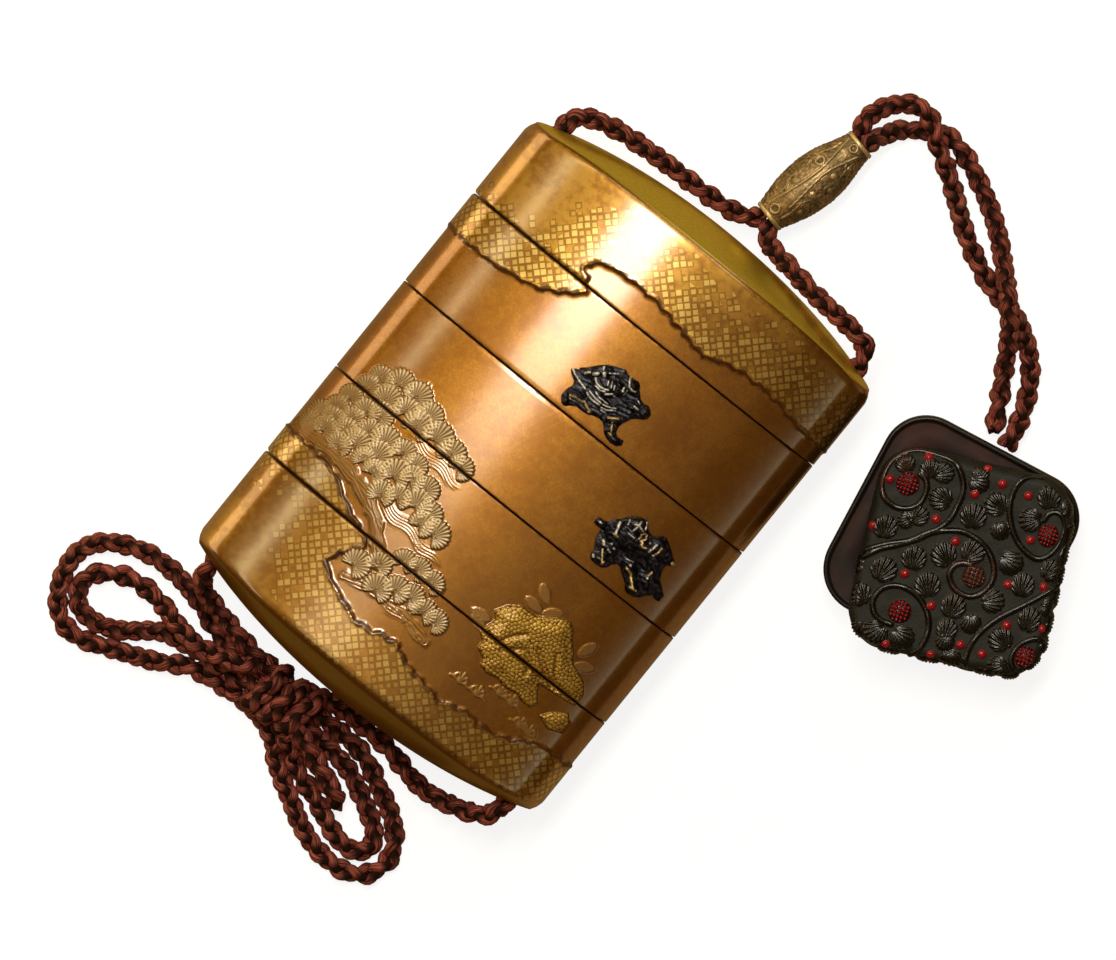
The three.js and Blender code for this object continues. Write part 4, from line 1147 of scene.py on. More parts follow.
# %% [markdown]
# ## Cord channels
# The cord runs through a round hole in each narrow side. A hole through a finished shell is the
# work of a Boolean cut, with one cylinder for each side.


# %% Cut a shape away
def add_rod(bm, radius, length, segments, place):
    bmesh.ops.create_cone(
        bm, cap_ends=True, segments=segments, radius1=radius * MM, radius2=radius * MM,
        depth=length * MM, matrix=place,
    )


def cut_away(name, mesh, cutter_bm):
    cutter = into_scene("cutter", mesh_of("cutter", cutter_bm))
    piece = into_scene(name, mesh)
    cut = piece.modifiers.new("cut", "BOOLEAN")
    cut.operation = "DIFFERENCE"
    cut.solver = "EXACT"
    cut.object = cutter
    bpy.context.view_layer.update()
    graph = bpy.context.evaluated_depsgraph_get()
    done = bpy.data.meshes.new_from_object(piece.evaluated_get(graph))
    for item in (cutter, piece):
        bpy.data.objects.remove(item)
    done.name = name
    return done


CHANNEL_RADIUS = 1.65


def bore_channels(name, mesh):
    bm = bmesh.new()
    for side in (-1, 1):
        place = Matrix.Translation((side * CHANNEL_X * MM, 0.0, MID_Z * MM))
        add_rod(bm, CHANNEL_RADIUS, 120, 24, place @ Matrix.Rotation(math.pi / 2, 4, "X"))
    return cut_away(name, mesh, bm)


# %% [markdown]
# ## Shared effects
# Three effects come back in more than one finish, so each is a node group with its own inputs:
# fine polishing scratches, the darkening of a worn edge, and the little squares of cut gold foil,
# which lie on a lattice, each a little out of place, with dark lines between them.


# %% Start a group
def new_group(name, inputs, outputs):
    group = bpy.data.node_groups.new(name, "ShaderNodeTree")
    group.interface.new_socket("Vector", in_out="INPUT", socket_type="NodeSocketVector")
    for title, value in inputs.items():
        socket = group.interface.new_socket(title, in_out="INPUT", socket_type="NodeSocketFloat")
        socket.default_value = value
    for title in outputs:
        group.interface.new_socket(title, in_out="OUTPUT", socket_type="NodeSocketFloat")
    entry = group.nodes.new("NodeGroupInput").outputs
    return Patterns(group), entry, group.nodes.new("NodeGroupOutput").inputs


# %% Scratches from polishing
net, entry, leave = new_group("polishing_scratches", {"Scale": 1.0, "Turn": 0.6}, ["Mask"])
scratches = net.tree
lines = []
for turn_more, fineness in ((0.0, 1.0), (1.25, 0.7)):
    turned = net.turned(entry["Vector"], net.maths("ADD", entry["Turn"], turn_more))
    drawn_out = net.vector("MULTIPLY", turned, (0.11 * fineness, 3.4 * fineness, 1.0))
    lines.append(net.step(net.noise(drawn_out, entry["Scale"], 2.5), 0.56, 0.74))
net.feed(leave["Mask"], net.larger(*lines))

# %% Wear along an edge
net, entry, leave = new_group("edge_wear", {"Distance": 1.0, "Reach": 0.5}, ["Mask"])
edge_wear = net.tree
ragged = net.times_plus(net.noise(entry["Vector"], 1.1, 4.0), 1.9, -0.55)
limit = net.times(entry["Reach"], net.larger(ragged, 0.15))
net.feed(leave["Mask"], net.step(net.maths("DIVIDE", entry["Distance"], limit), 1.15, 0.55))

# %% Squares of cut foil, corner upwards
PITCH_OF_SQUARES = 1.0
net, entry, leave = new_group("foil_squares", {"Depth": 0.0, "Fade": 12.0}, ["Mask", "Line", "Tone"])
foil = net.tree
lattice = net.scaled(net.turned(entry["Vector"], math.pi / 4), 1 / PITCH_OF_SQUARES)
cell = net.vector("FLOOR", lattice)
draw = net.node("TexWhiteNoise", {"Vector": cell}, noise_dimensions="2D").outputs
shake = net.vector("MULTIPLY_ADD", draw["Color"], (0.2, 0.2, 0.0), (-0.6, -0.6, 0.0))
around = net.split(net.vector("ADD", net.vector("SUBTRACT", lattice, cell), shake))
far = net.larger(net.maths("ABSOLUTE", around["X"]), net.maths("ABSOLUTE", around["Y"]))
half_size = net.times_plus(draw["Value"], 0.13, 0.26)
square = net.step(net.maths("SUBTRACT", far, half_size), 0.05, -0.03)
# Deep in the mist more and more squares are left out, and none lies close to its edge.
fading = net.maths("DIVIDE", entry["Depth"], entry["Fade"])
fewer = net.times(fading, net.times(fading, fading))
other_cell = net.vector("ADD", cell, (7.0, 3.0, 5.0))
draw_again = net.node("TexWhiteNoise", {"Vector": other_cell}, noise_dimensions="3D").outputs["Value"]
present = net.maths("GREATER_THAN", draw_again, net.times_plus(fewer, 1.1, 0.03))
laid = net.times(present, net.maths("GREATER_THAN", entry["Depth"], 0.45))
net.feed(leave["Mask"], net.times(square, laid))
net.feed(leave["Line"], net.times(net.maths("SUBTRACT", 1.0, square), laid))
net.feed(leave["Tone"], draw["Value"])
print("shared effects:", [group.name for group in bpy.data.node_groups])

# %% [markdown]
# ## Gold lacquer
# Gold powder is sprinkled into wet lacquer, then polished: warm metal under a clear coat. The
# masks made with the relief say where the ground, the mist, the foil, the pine and the rock lie.
# Along joints and raised edges the gold is rubbed through to brown. Toward the base, along the right
# side and on the lower left, a painted shade darkens it.

# %% Gold lacquer: ground and painted shade
gold = Finish("gold_lacquer")
millimetres = gold.millimetres()
across_case, along_case = gold.split(millimetres)[:2]
powder = gold.noise(millimetres, 3.2, 4.0)
mottle = gold.noise(millimetres, 0.85, 5.0, Roughness=0.62)
cloudy = gold.times_plus(mottle, 0.5, gold.times(gold.noise(millimetres, 0.16, 3.0), 0.5))
scratch = gold.group(scratches, Vector=millimetres, Scale=1.0, Turn=0.75)["Mask"]
ground = gold.blend(gold.step(powder, 0.3, 0.75), (0.37, 0.147, 0.012), (0.5, 0.219, 0.02))
ground = gold.layers(
    ground,
    (gold.step(cloudy, 0.4, 0.62, 0.0, 0.75), (0.3, 0.105, 0.009)),
    (gold.times(scratch, 0.12), (0.66, 0.36, 0.07)),
)
# Painted shade: darker toward the base, along the right side and on the lower left, kept off the narrow
# sides.
painted_shade_areas = gold.larger(
    gold.times(gold.step(along_case, 3.0, -24.0, 0.0, 0.5), gold.step(across_case, 24.0, 8.0, 0.4, 1.0)),
    gold.times(gold.step(across_case, 14.0, 27.0, 0.0, 0.5), gold.step(along_case, -34.0, -20.0, 0.4, 1.0)),
    gold.times(gold.step(across_case, -20.0, -25.0), gold.step(along_case, 2.0, -22.0, 0.0, 0.55)),
)
flat_face = gold.times(gold.step(across_case, 30.5, 28.0), gold.step(across_case, -28.5, -26.5))
painted_shade_areas = gold.times(painted_shade_areas, flat_face)

# %% Gold lacquer: mist, foil and the dark edge of the mist
mist = gold.mask("mist")
flat = gold.node("UVMap", uv_map="lacquer").outputs["UV"]
squares = gold.group(foil, Vector=flat, Depth=mist, Fade=9.5)
in_mist = gold.step(mist, 0.0, 0.3)
mist_gold = gold.blend(gold.step(cloudy, 0.42, 0.6), (0.64, 0.36, 0.05), (0.36, 0.165, 0.016))
foil_gold = gold.blend(squares["Tone"], (0.58, 0.37, 0.055), (0.98, 0.74, 0.21))
line_width = gold.step(gold.noise(millimetres, 0.9, 3.0), 0.4, 0.62, 0.18, 0.9)
edge_line = gold.maths("DIVIDE", gold.maths("ABSOLUTE", mist), line_width)
edge_line = gold.step(edge_line, 1.0, 0.35)

# %% Gold lacquer: pine, rock, crown and wear
needle = gold.mask("needle")
on_pine = gold.maths("GREATER_THAN", needle, -0.5)
# Painted shade: the grooves between the needles and each fan's root, under the rim that lies over it, are
# coloured darker than the ridges. The left end of the pine is dimmed.
pine_gold_and_shade = gold.blend(gold.step(needle, 0.0, 0.75), (0.17, 0.09, 0.033), (0.66, 0.5, 0.27))
dimmed = gold.step(across_case, -19.0, -29.0, 0.0, 0.7)
pine_gold_and_shade = gold.blend(dimmed, pine_gold_and_shade, (0.24, 0.135, 0.035))
scale = gold.mask("rock")
on_rock = gold.maths("GREATER_THAN", scale, -0.5)
rock_gold = gold.blend(gold.step(scale, 0.1, 0.75), (0.11, 0.045, 0.007), (0.56, 0.34, 0.058))
wood, stroke, crowned = [gold.mask(name) for name in ("wood", "stroke", "crown")]
crown_gold_and_shade = gold.blend(gold.step(powder, 0.3, 0.8), (0.84, 0.66, 0.08), (1.0, 0.82, 0.13))
toward_base = gold.step(along_case, 30.0, -30.0)
# Painted shade: the base's dome is made darker than the lid's, darker towards the base.
crown_gold_and_shade = gold.blend(toward_base, crown_gold_and_shade, (0.28, 0.16, 0.02))
wear = gold.group(edge_wear, Vector=millimetres, Distance=gold.mask("edge"), Reach=0.4)["Mask"]

# %% Gold lacquer: lay it all over the ground
colours = gold.layers(
    ground,
    (gold.times(in_mist, 0.65), mist_gold),
    (gold.times(squares["Line"], 0.7), (0.25, 0.1, 0.009)),
    (gold.times(squares["Mask"], 0.7), foil_gold),
    # painted shade toward the base and the sides
    (painted_shade_areas, (0.15, 0.055, 0.006)),
    (gold.times(edge_line, 0.92), (0.06, 0.017, 0.004)),
    (wood, (0.27, 0.135, 0.03)),
    (gold.times(stroke, 0.75, clamp=True), (0.37, 0.225, 0.08)),
    (on_pine, pine_gold_and_shade),
    (on_rock, rock_gold),
    (crowned, crown_gold_and_shade),
    (gold.times(wear, 0.85), (0.085, 0.03, 0.01)),
    (gold.mask("hollow"), (0.16, 0.06, 0.012)),
)
dull = gold.larger(wear, edge_line)
painted = gold.maths("MAXIMUM", gold.larger(on_rock, on_pine, stroke), wood, clamp=True)
matt = gold.times_plus(toward_base, 0.06, gold.times_plus(scratch, -0.06, 0.34))
polish = gold.step(gold.larger(dull, painted, crowned), 0.0, 1.0, 1.0, 0.2)
gold.dress({
    "Base Color": colours,
    "Metallic": gold.step(dull, 0.0, 1.0, 0.92, 0.35),
    "Roughness": gold.times_plus(painted, 0.18, matt),
    "Coat Weight": gold.times(polish, gold.step(in_mist, 0.0, 1.0, 0.85, 0.95)),
    "Coat Roughness": 0.14,
    "Coat IOR": 2.08,
    "Specular Tint": (1.0, 0.8, 0.42),
})
lift = gold.times_plus(squares["Mask"], 0.07, gold.times(powder, 0.2))
lift = gold.times_plus(mottle, 0.3, gold.times_plus(scratch, -0.05, lift))
gold.bumps(lift, 0.35, 0.0001)

# %% The five tiers
TIERS = {
    "lid": (
        JOINTS[0], None, PLAIN_FRONT, PLAIN_SIDE, shares(25.5, 38.6, (25, 32, 0.25), (32, 39, 0.5)),
    ),
    "case_upper": (
        JOINTS[1], JOINTS[0], PLAIN_FRONT, PLAIN_SIDE, shares(9.5, 24.6, (9, 18, 0.6), (18, 25, 0.25)),
    ),
    "case_middle": (
        JOINTS[2], JOINTS[1], across_front((-27, -5, 0.13), (-5, 27, 0.4)), FINE_SIDE,
        shares(-6.1, 8.6, (-7, 0, 0.13), (0, 9, 0.6)),
    ),
    "case_lower": (
        JOINTS[3], JOINTS[2], across_front((-27, 1, 0.13), (1, 6, 0.3), (6, 27, 0.14)), FINE_SIDE,
        shares(-21.8, -7.0, (-22, -7, 0.13)),
    ),
    "base_case": (
        None, JOINTS[3], across_front((-27, -14, 0.28), (-14, 6, 0.13), (6, 27, 0.15)), PLAIN_SIDE,
        shares(-38.6, -22.6, (-39, -35, 0.5), (-35, -30.5, 0.25), (-30.5, -22, 0.13)),
    ),
}
for name, tier in TIERS.items():
    mesh = bore_channels(name, stack_rings(name, make_tier(*tier)))
    keep("shell_" + name, mesh, gold, "gold_lacquer", name)


# %% [markdown]
# ## Two metal figures
# Two small armoured figures sit on the front. Each is a low casting of dark alloy with silver and
# gilt lines laid on it. An outline gives the casting's edge, a few soft mounds give its body, and
# every laid line is a stroke with its own half width.

# %% The upper figure
UP_THE_CASE = 0.45
UPPER_OUTLINE = [
    (-4.5, 14.1), (-4.1, 14.5), (-3.6, 14.7), (-3.6, 15.1), (-2.9, 15.7), (-2.3, 16.4), (-1.7, 17.1),
    (-1, 17.8), (0.4, 18.4), (1.6, 18.9), (2.3, 18.6), (3.3, 18.6), (4.1, 18.7), (4.6, 18.4),
    (4.9, 17.9), (5.4, 17.4), (5.9, 16.9), (6.7, 16.7), (7.3, 16.9), (7.9, 16.6), (8.4, 16.1),
    (8.4, 15.4), (8, 14.9), (7.3, 14.5), (6.6, 13.9), (6.3, 13.2), (6, 12.6), (5.9, 11.9), (6.1, 11.1),
    (6.6, 10.7), (7.7, 10.8), (7.9, 10.1), (7.3, 9.5), (6.3, 9.35), (5.4, 9.6), (4.7, 10), (4.2, 10.6),
    (3.7, 11), (2.9, 11.1), (2.1, 10.9), (1.4, 10.5), (0.6, 10.4), (-0.6, 10.4), (-1.3, 10),
    (-1.7, 9.6), (-2.1, 9.35), (-2.6, 9.5), (-3, 9.9), (-3.3, 10.4), (-3.2, 11.6), (-2.9, 12.4),
    (-3.1, 13), (-3.8, 13.4), (-4.3, 13.8),
]
# Mounds: centre, half length, half width, turn in degrees, height.
UPPER_MOUNDS = [
    (3.2, 17.6, 1.9, 1.1, -10, 0.55), (-1.2, 16.3, 2.2, 1.1, 42, 0.5), (0.8, 15.3, 2.3, 1.4, 0, 0.5),
    (1.2, 13.1, 2.9, 0.9, 0, 0.42), (-1.7, 11.7, 1.4, 0.8, 10, 0.45), (4.6, 12.2, 1.2, 0.7, 30, 0.42),
    (-2.3, 10, 0.7, 0.6, 60, 0.25), (6.6, 10.1, 1.1, 0.5, 0, 0.32), (7.5, 15.8, 0.85, 0.85, 0, 0.6),
    (5.7, 15.4, 1.2, 0.6, 0, 0.36), (3, 16.1, 0.7, 0.6, 0, 0.62), (5.2, 11, 0.6, 1.1, -30, 0.25),
]
# Strokes: half width, gilt or not, then the places.
UPPER_STROKES = [
    (0.13, 0, [(-4.3, 14.3), (-3.6, 13.9), (-2.5, 13.5), (-1.2, 13.2)]), (0.22, 0, [(-0.4, 16.6),
    (-0.2, 16.3)]), (0.22, 0, [(-1.5, 15.6), (-1.1, 16)]), (0.17, 0, [(-2.5, 14.9), (-2.1, 15.4)]),
    (0.13, 0, [(-1, 17.3), (-0.8, 16.9)]), (0.1, 0, [(0.2, 17.1), (1.2, 17.8)]), (0.13, 0, [(2.8, 18.5),
    (3.1, 17.9), (3.5, 17.3), (4.2, 17.1), (4.6, 17.3)]), (0.13, 0, [(-0.95, 15.3), (-0.4, 14.8),
    (0.3, 14.7), (1, 14.85), (1.5, 15.1)]), (0.09, 0, [(-0.3, 14.4), (0.6, 14.3), (1.3, 14.6)]), (0.08,
    0, [(0.7, 16.2), (1, 15.6)]), (0.09, 0, [(1.2, 16.4), (1.6, 15.6)]), (0.08, 0, [(1.8, 16.2),
    (2.1, 15.6)]), (0.12, 0, [(3, 16.7), (3.2, 16.2)]), (0.1, 0, [(3.6, 16.7), (3.6, 15.9)]), (0.12, 0,
    [(1.5, 14.3), (2.3, 15)]), (0.14, 0, [(2.7, 14.9), (2.8, 14.95)]), (0.13, 0, [(-0.6, 12.9),
    (-0.1, 12.6), (0.9, 12.5), (1.8, 12.6)]), (0.08, 0, [(-0.4, 13.3), (0.8, 13), (1.9, 13)]), (0.08, 0,
    [(0.2, 13.8), (1.2, 13.5), (2.6, 13.5)]), (0.08, 0, [(2.2, 13), (3, 13.2), (4, 13.7)]), (0.12, 0,
    [(2.3, 12.5), (3, 12.6), (3.6, 13.1), (4.1, 13.4)]), (0.07, 0, [(2.5, 12.2), (3.2, 12.3)]), (0.18,
    1, [(3.9, 12.05), (5.1, 12.8)]), (0.12, 1, [(4.8, 11.8), (5.7, 10.4)]), (0.1, 1, [(5.3, 10.35),
    (5.9, 10.35)]), (0.16, 1, [(-2.2, 11.1), (-1.5, 11.3), (-0.3, 11.45)]), (0.16, 1, [(-0.1, 11.7),
    (0.5, 11.4), (1.3, 11.1), (1.3, 10.9)]), (0.1, 1, [(-2.2, 11), (-1.9, 10.7)]), (0.14, 0,
    [(5.8, 15.6), (6.4, 15.6)]), (0.08, 0, [(5.8, 16.5), (6.2, 16.3)]),
]

# %% The lower figure
LOWER_OUTLINE = [
    (11.5, -0.4), (11.7, 0.2), (12.4, 0.2), (13.1, 0.4), (13.4, 1), (14.1, 1.7), (14.6, 2.3),
    (15.2, 3.1), (16, 3.6), (16.7, 3.9), (17.5, 4), (18, 3.5), (18.5, 3), (19.2, 2.8), (19.9, 3),
    (20.4, 3.6), (21.1, 3.8), (22, 3.3), (22.9, 2.7), (23.5, 2.2), (24, 1.95), (24.5, 1.45), (24, 0.95),
    (23.6, 0.8), (23.4, 0.2), (23.7, -0.7), (24.1, -1.5), (24.7, -1.9), (25.4, -2.5), (25.9, -3.2),
    (25.9, -4), (25.4, -4.2), (24.7, -3.9), (24, -4.4), (23.5, -5.2), (22.7, -5.7), (21.7, -5.9),
    (21.1, -5.7), (20.5, -4.9), (19.7, -4.4), (19.1, -4), (18.5, -3.5), (17.9, -3.5), (17.4, -4),
    (17.1, -4.8), (16.5, -5.3), (15.5, -5.4), (14.6, -5.3), (14.1, -4.7), (14.1, -3.9), (13.7, -3.3),
    (13.2, -2.4), (13.1, -1.7), (13, -1), (12.1, -1), (11.6, -0.85),
]
LOWER_MOUNDS = [
    (16.7, 2.6, 1.7, 1.1, 10, 0.62), (20.8, 2, 1.7, 1.2, -15, 0.58), (22.7, 1.6, 1.1, 0.8, -40, 0.35),
    (17.8, 0.6, 3.4, 1.3, -5, 0.5), (14.6, 0.7, 0.8, 1.2, -20, 0.42), (15.4, -2.3, 1.7, 0.9, -10, 0.4),
    (19.3, -2.6, 1.7, 0.9, -25, 0.42), (15.6, -4.1, 1, 1, 0, 0.3), (21.4, -4.6, 1.3, 0.8, -40, 0.38),
    (23.2, -2.6, 2.3, 1.3, -20, 0.42), (18.9, 1.5, 0.7, 0.7, 0, 0.6),
]
SCABBARD = [(11.9, -0.35), (15, -0.35), (19, -0.7), (22.4, -1.5), (25.3, -3.2)]
LOWER_STROKES = [
    (0.16, 0, [(14.5, 1.5), (14.55, 1), (14.8, 0.3), (14.95, -0.2)]), (0.17, 1, [(14.8, -0.35),
    (15.4, -0.35)]), (0.1, 0, [(15.3, 2.6), (15.5, 1.9)]), (0.12, 0, [(16.2, 2.6), (16.7, 2.75),
    (17.7, 2.5)]), (0.12, 0, [(16.7, 3.4), (16.7, 2.8), (16.6, 1.7)]), (0.09, 0, [(17.5, 3.8),
    (17.85, 2.9)]), (0.07, 0, [(16.3, 1), (17.3, 1)]), (0.12, 1, [(17.95, 1.3), (18, 2.1),
    (18.3, 2.4)]), (0.11, 1, [(18.6, 2.4), (18.7, 1.9), (18.35, 1.25), (18.7, 1.1)]), (0.15, 0,
    [(19.5, 1.75), (19.55, 1.75)]), (0.15, 1, [(18.7, 0.85), (19.1, 0.65), (19.5, 0.85)]), (0.14, 0,
    [(20.35, 2.2), (20.3, 1.5), (20.2, 0.7)]), (0.14, 1, [(21.2, 2.2), (21.2, 1.4), (21.1, 0.6)]),
    (0.16, 0, [(12.2, -0.25), (12.35, -0.25)]), (0.2, 0, [(14.2, -2), (14.6, -2.45)]), (0.14, 0,
    [(15.4, -1.7), (15.45, -1.65)]), (0.17, 0, [(16.05, -2), (16.1, -2)]), (0.13, 0, [(15.5, -2.65),
    (16, -2.75)]), (0.11, 1, [(14.95, -3.1), (15.4, -3.8), (16.05, -4.7)]), (0.15, 1, [(16.15, -4.4),
    (16.2, -4.8)]), (0.16, 0, [(14.45, -4.5), (14.6, -4.75)]), (0.08, 0, [(18.3, -2.05), (19.4, -1.8)]),
    (0.19, 0, [(19.3, -2.4), (19.32, -2.4)]), (0.11, 1, [(22.3, -1.3), (22.2, -2)]), (0.16, 0,
    [(22.3, -2.4), (22.32, -2.4)]), (0.16, 1, [(19.2, -3.1), (20.1, -3.3), (21, -4.2), (21.7, -4.9)]),
    (0.15, 1, [(21.2, -4.95), (22.2, -4.85)]), (0.3, 1, [(23.95, 1.45), (24.05, 1.45)]),
]
print("strokes:", len(UPPER_STROKES), len(LOWER_STROKES))

# %% [markdown]
# ## From an outline to a casting
# A fine grid is trimmed to the outline, its edge is pulled onto the outline, and the trimmed sheet
# is extruded into a closed body. The underside follows the case; the top rises by the relief.


# %% Trim a grid to an outline and give it thickness
def thick_sheet(outline, spacing):
    low = np.array(outline).min(axis=0) - spacing
    high = np.array(outline).max(axis=0) + spacing
    counts = np.ceil((high - low) / spacing).astype(int)
    bm = bmesh.new()
    bmesh.ops.create_grid(bm, x_segments=int(counts[0]), y_segments=int(counts[1]), size=1.0)
    middle, reach = (low + high) / 2, (high - low) / 2
    bmesh.ops.scale(bm, vec=(*reach, 1.0), verts=bm.verts)
    bmesh.ops.translate(bm, vec=(*middle, 0.0), verts=bm.verts)
    middles = np.array([face.calc_center_median()[:2] for face in bm.faces])
    kept = inside_outline(outline, middles[:, 0], middles[:, 1])
    spare = [face for face, inside in zip(list(bm.faces), kept) if not inside]
    bmesh.ops.delete(bm, geom=spare, context="FACES")
    closed = [Vector((x, y, 0.0)) for x, y in [*outline, outline[0]]]
    for vertex in bm.verts:
        if not vertex.is_boundary:
            continue
        nearest = None
        for start, end in zip(closed[:-1], closed[1:]):
            along = end - start
            share = min(1.0, max(0.0, (vertex.co - start).dot(along) / along.length_squared))
            place = start + share * along
            if nearest is None or (place - vertex.co).length < (nearest - vertex.co).length:
                nearest = place
        vertex.co = nearest
    raised = bm.verts.layers.int.new("raised")
    sheet = list(bm.faces)
    made = bmesh.ops.extrude_face_region(bm, geom=sheet, use_keep_orig=True)["geom"]
    for item in made:
        if isinstance(item, bmesh.types.BMVert):
            item[raised] = 1
    bmesh.ops.recalc_face_normals(bm, faces=bm.faces)
    return bm


# %% Raise the casting
CASTING_GRID = 0.075
CASTING_LIFT = 0.03


def figure_relief(x, y, outline, mounds, strokes, scabbard=None):
    inside = signed_distance(np.array(outline), x, y)
    body = 0.28 + 0.3 * round_top(1.0 - np.clip(inside / 0.7, 0.0, 1.0))
    height = body.copy()
    for mound_x, mound_y, half_length, half_width, turn, rise in mounds:
        along, beside = along_and_beside(x - mound_x, y - mound_y, turn)
        dome = round_top(np.hypot(along / half_length, beside / half_width))
        height = np.maximum(height, body - 0.12 * (dome > 0) + (1.25 * rise + 0.12) * dome)
    if scabbard:
        round_bar = round_top(distance_to(scabbard, x, y) / 0.55)
        height = np.maximum(height, 0.72 + 0.42 * round_bar - 0.6 * (round_bar <= 0))
    lamellae = 0.035 * np.sin(9.0 * y + 1.6 * np.sin(1.9 * x)) * smooth_between(inside, 0.3, 0.8)
    height += lamellae
    silver = np.zeros(x.shape)
    gilt = np.zeros(x.shape)
    for half_width, gilded, places in strokes:
        gap = distance_to(places, x, y) / (1.25 * half_width)
        height += (1.25 * half_width + 0.05) * round_top(gap)
        metal = gilt if gilded else silver
        np.maximum(metal, smooth_between(1.0 - gap, 0.0, 0.25), out=metal)
    return height, silver, gilt


def casting(name, node, outline, mounds, strokes, scabbard=None):
    mesh = mesh_of(name, thick_sheet(outline, CASTING_GRID))
    x, y = read_places(mesh)[:, :2].T
    height, silver, gilt = figure_relief(x, y, outline, mounds, strokes, scabbard)
    height = np.where(take_numbers(mesh, "raised") == 1, height, CASTING_LIFT)
    lean_x, lean_z = x / FACE_RADIUS, np.sqrt(1.0 - (x / FACE_RADIUS) ** 2)
    ground = MID_Z + HALF_DEPTH - FACE_RADIUS
    z = ground + lean_z * (FACE_RADIUS + height)
    done = np.stack([x + lean_x * height, y + UP_THE_CASE, z], axis=1)
    put_places(mesh, done)
    mark_points(mesh, {"silver": silver, "gilt": gilt, "rise": height})
    return keep(name, mesh, alloy, "dark_metal", node)


# %% [markdown]
# ## Dark alloy with silver and gilt
# The alloy is patinated nearly black with a blue-violet cast. The laid lines are bright silver or
# warm gilt, tarnished in patches.

# %% Dark alloy
alloy = Finish("dark_alloy")
millimetres = alloy.millimetres()
mottle = alloy.noise(millimetres, 1.7, 3.0)
silver, gilt = alloy.mask("silver"), alloy.mask("gilt")
laid = alloy.larger(silver, gilt)
tarnish = alloy.step(mottle, 0.38, 0.62, 0.4, 1.0)
patina = alloy.blend(alloy.step(mottle, 0.35, 0.7), (0.003, 0.003, 0.005), (0.06, 0.06, 0.085))
alloy.dress({
    "Base Color": alloy.layers(
        patina,
        (alloy.times(silver, tarnish), (0.95, 0.94, 0.9)),
        (alloy.times(gilt, tarnish), (0.92, 0.68, 0.3)),
    ),
    "Metallic": alloy.step(laid, 0.0, 1.0, 0.8, 0.6),
    "Roughness": alloy.times_plus(laid, 0.2, alloy.step(mottle, 0.3, 0.7, 0.16, 0.3)),
})
alloy.bumps(alloy.noise(millimetres, 6.0, 3.0), 0.5, 0.00012)

# %% Cast both figures
casting("upper_warrior", "figure_upper", UPPER_OUTLINE, UPPER_MOUNDS, UPPER_STROKES)
casting("lower_warrior", "figure_lower", LOWER_OUTLINE, LOWER_MOUNDS, LOWER_STROKES, SCABBARD)

# %% [markdown]
# ## The bead
# The cast bead is a spindle with a collar at each end. Two long ribs curve along it, ringed bosses
# sit between them, and fine scrollwork fills the rest. It is a stack of rings along its axis, each
# point lifted by the relief, with the bore cut through at the end.

# %% The bead's outline and its ornaments
BEAD_HALF = math.hypot(*(BEAD_END - BEAD_START)) / 2
BEAD_BORE = 1.9
BEAD_PROFILE = [
    (-8.6, 2.3), (-7.2, 2.7), (-5.8, 3.12), (-4.3, 3.52), (-2.9, 3.76), (-1.5, 3.9), (0, 3.95),
    (1.4, 3.86), (2.8, 3.68), (4.2, 3.32), (5.6, 2.9), (7, 2.55), (8.6, 2.25),
]
# Ribs: half width, rise, then places along the axis and to the side.
BEAD_RIBS = [
    (0.15, 0.22, [
        (-7.2, -1.7), (-5.8, -1.5), (-4.3, -1.2), (-2.9, -1.05), (-1.5, -0.9), (0, -0.8), (1.3, -0.75),
        (2.7, -0.9), (4.1, -1.05), (5.6, -1.35), (6.7, -1.55), (7.7, -1.85),
    ]),
    (0.13, 0.12, [
        (-7.2, -2.1), (-5.8, -2), (-4.3, -1.95), (-3.6, -2.1), (-2.9, -2.6), (-2.2, -2.85),
        (-0.8, -2.5), (0.6, -2.6), (1.3, -2.9), (2.4, -3), (3.8, -2.8), (5, -2.3), (6.4, -2.15),
    ]),
    (0.15, 0.22, [
        (-5.2, 0.85), (-3.6, 0.7), (-2.9, 0.62), (-1.5, 0.4), (0, 0.2), (1.3, 0.1), (2.7, 0.16),
        (4.1, 0.44), (5.6, 0.86), (6.9, 1.2),
    ]),
    (0.13, 0.12, [(-7, 1.4), (-5.8, 1.6), (-4.7, 1.55), (-3.6, 1.4), (-2.6, 1.7), (-1.6, 2.2), (-0.4, 2.2)]),
    (0.12, 0.11, [(0.2, 1.9), (1.6, 1.9), (2.6, 2.2), (3.6, 2), (4.6, 1.6), (6, 1.7)]),
]
# Ringed bosses and plain studs: place and radius.
RINGED = [(-6.9, -0.35, 0.86), (2.5, -1.85, 0.84), (7.25, -0.1, 0.74)]
STUDS = [
    (-2.1, -1.75, 0.62), (-1.5, 1.6, 0.62), (2.6, 1.4, 0.56), (5, 1.9, 0.4), (-4.4, 2.5, 0.45),
    (0.9, 2.7, 0.45),
]
# Curled shells: place, radius and the way each opens.
CURLS = [
    (3.2, -3.8, 0.85, 0.6), (0.2, -3.1, 1, 0.4), (-3.9, -2.9, 1.2, 0.2), (5.2, 1.75, 0.8, 2.5),
    (1.5, 2.95, 0.9, 2.8), (-4, 2.5, 1.1, 2.9), (5.3, -2.6, 0.6, 0.9), (-0.3, 1.9, 0.7, 2.4),
]


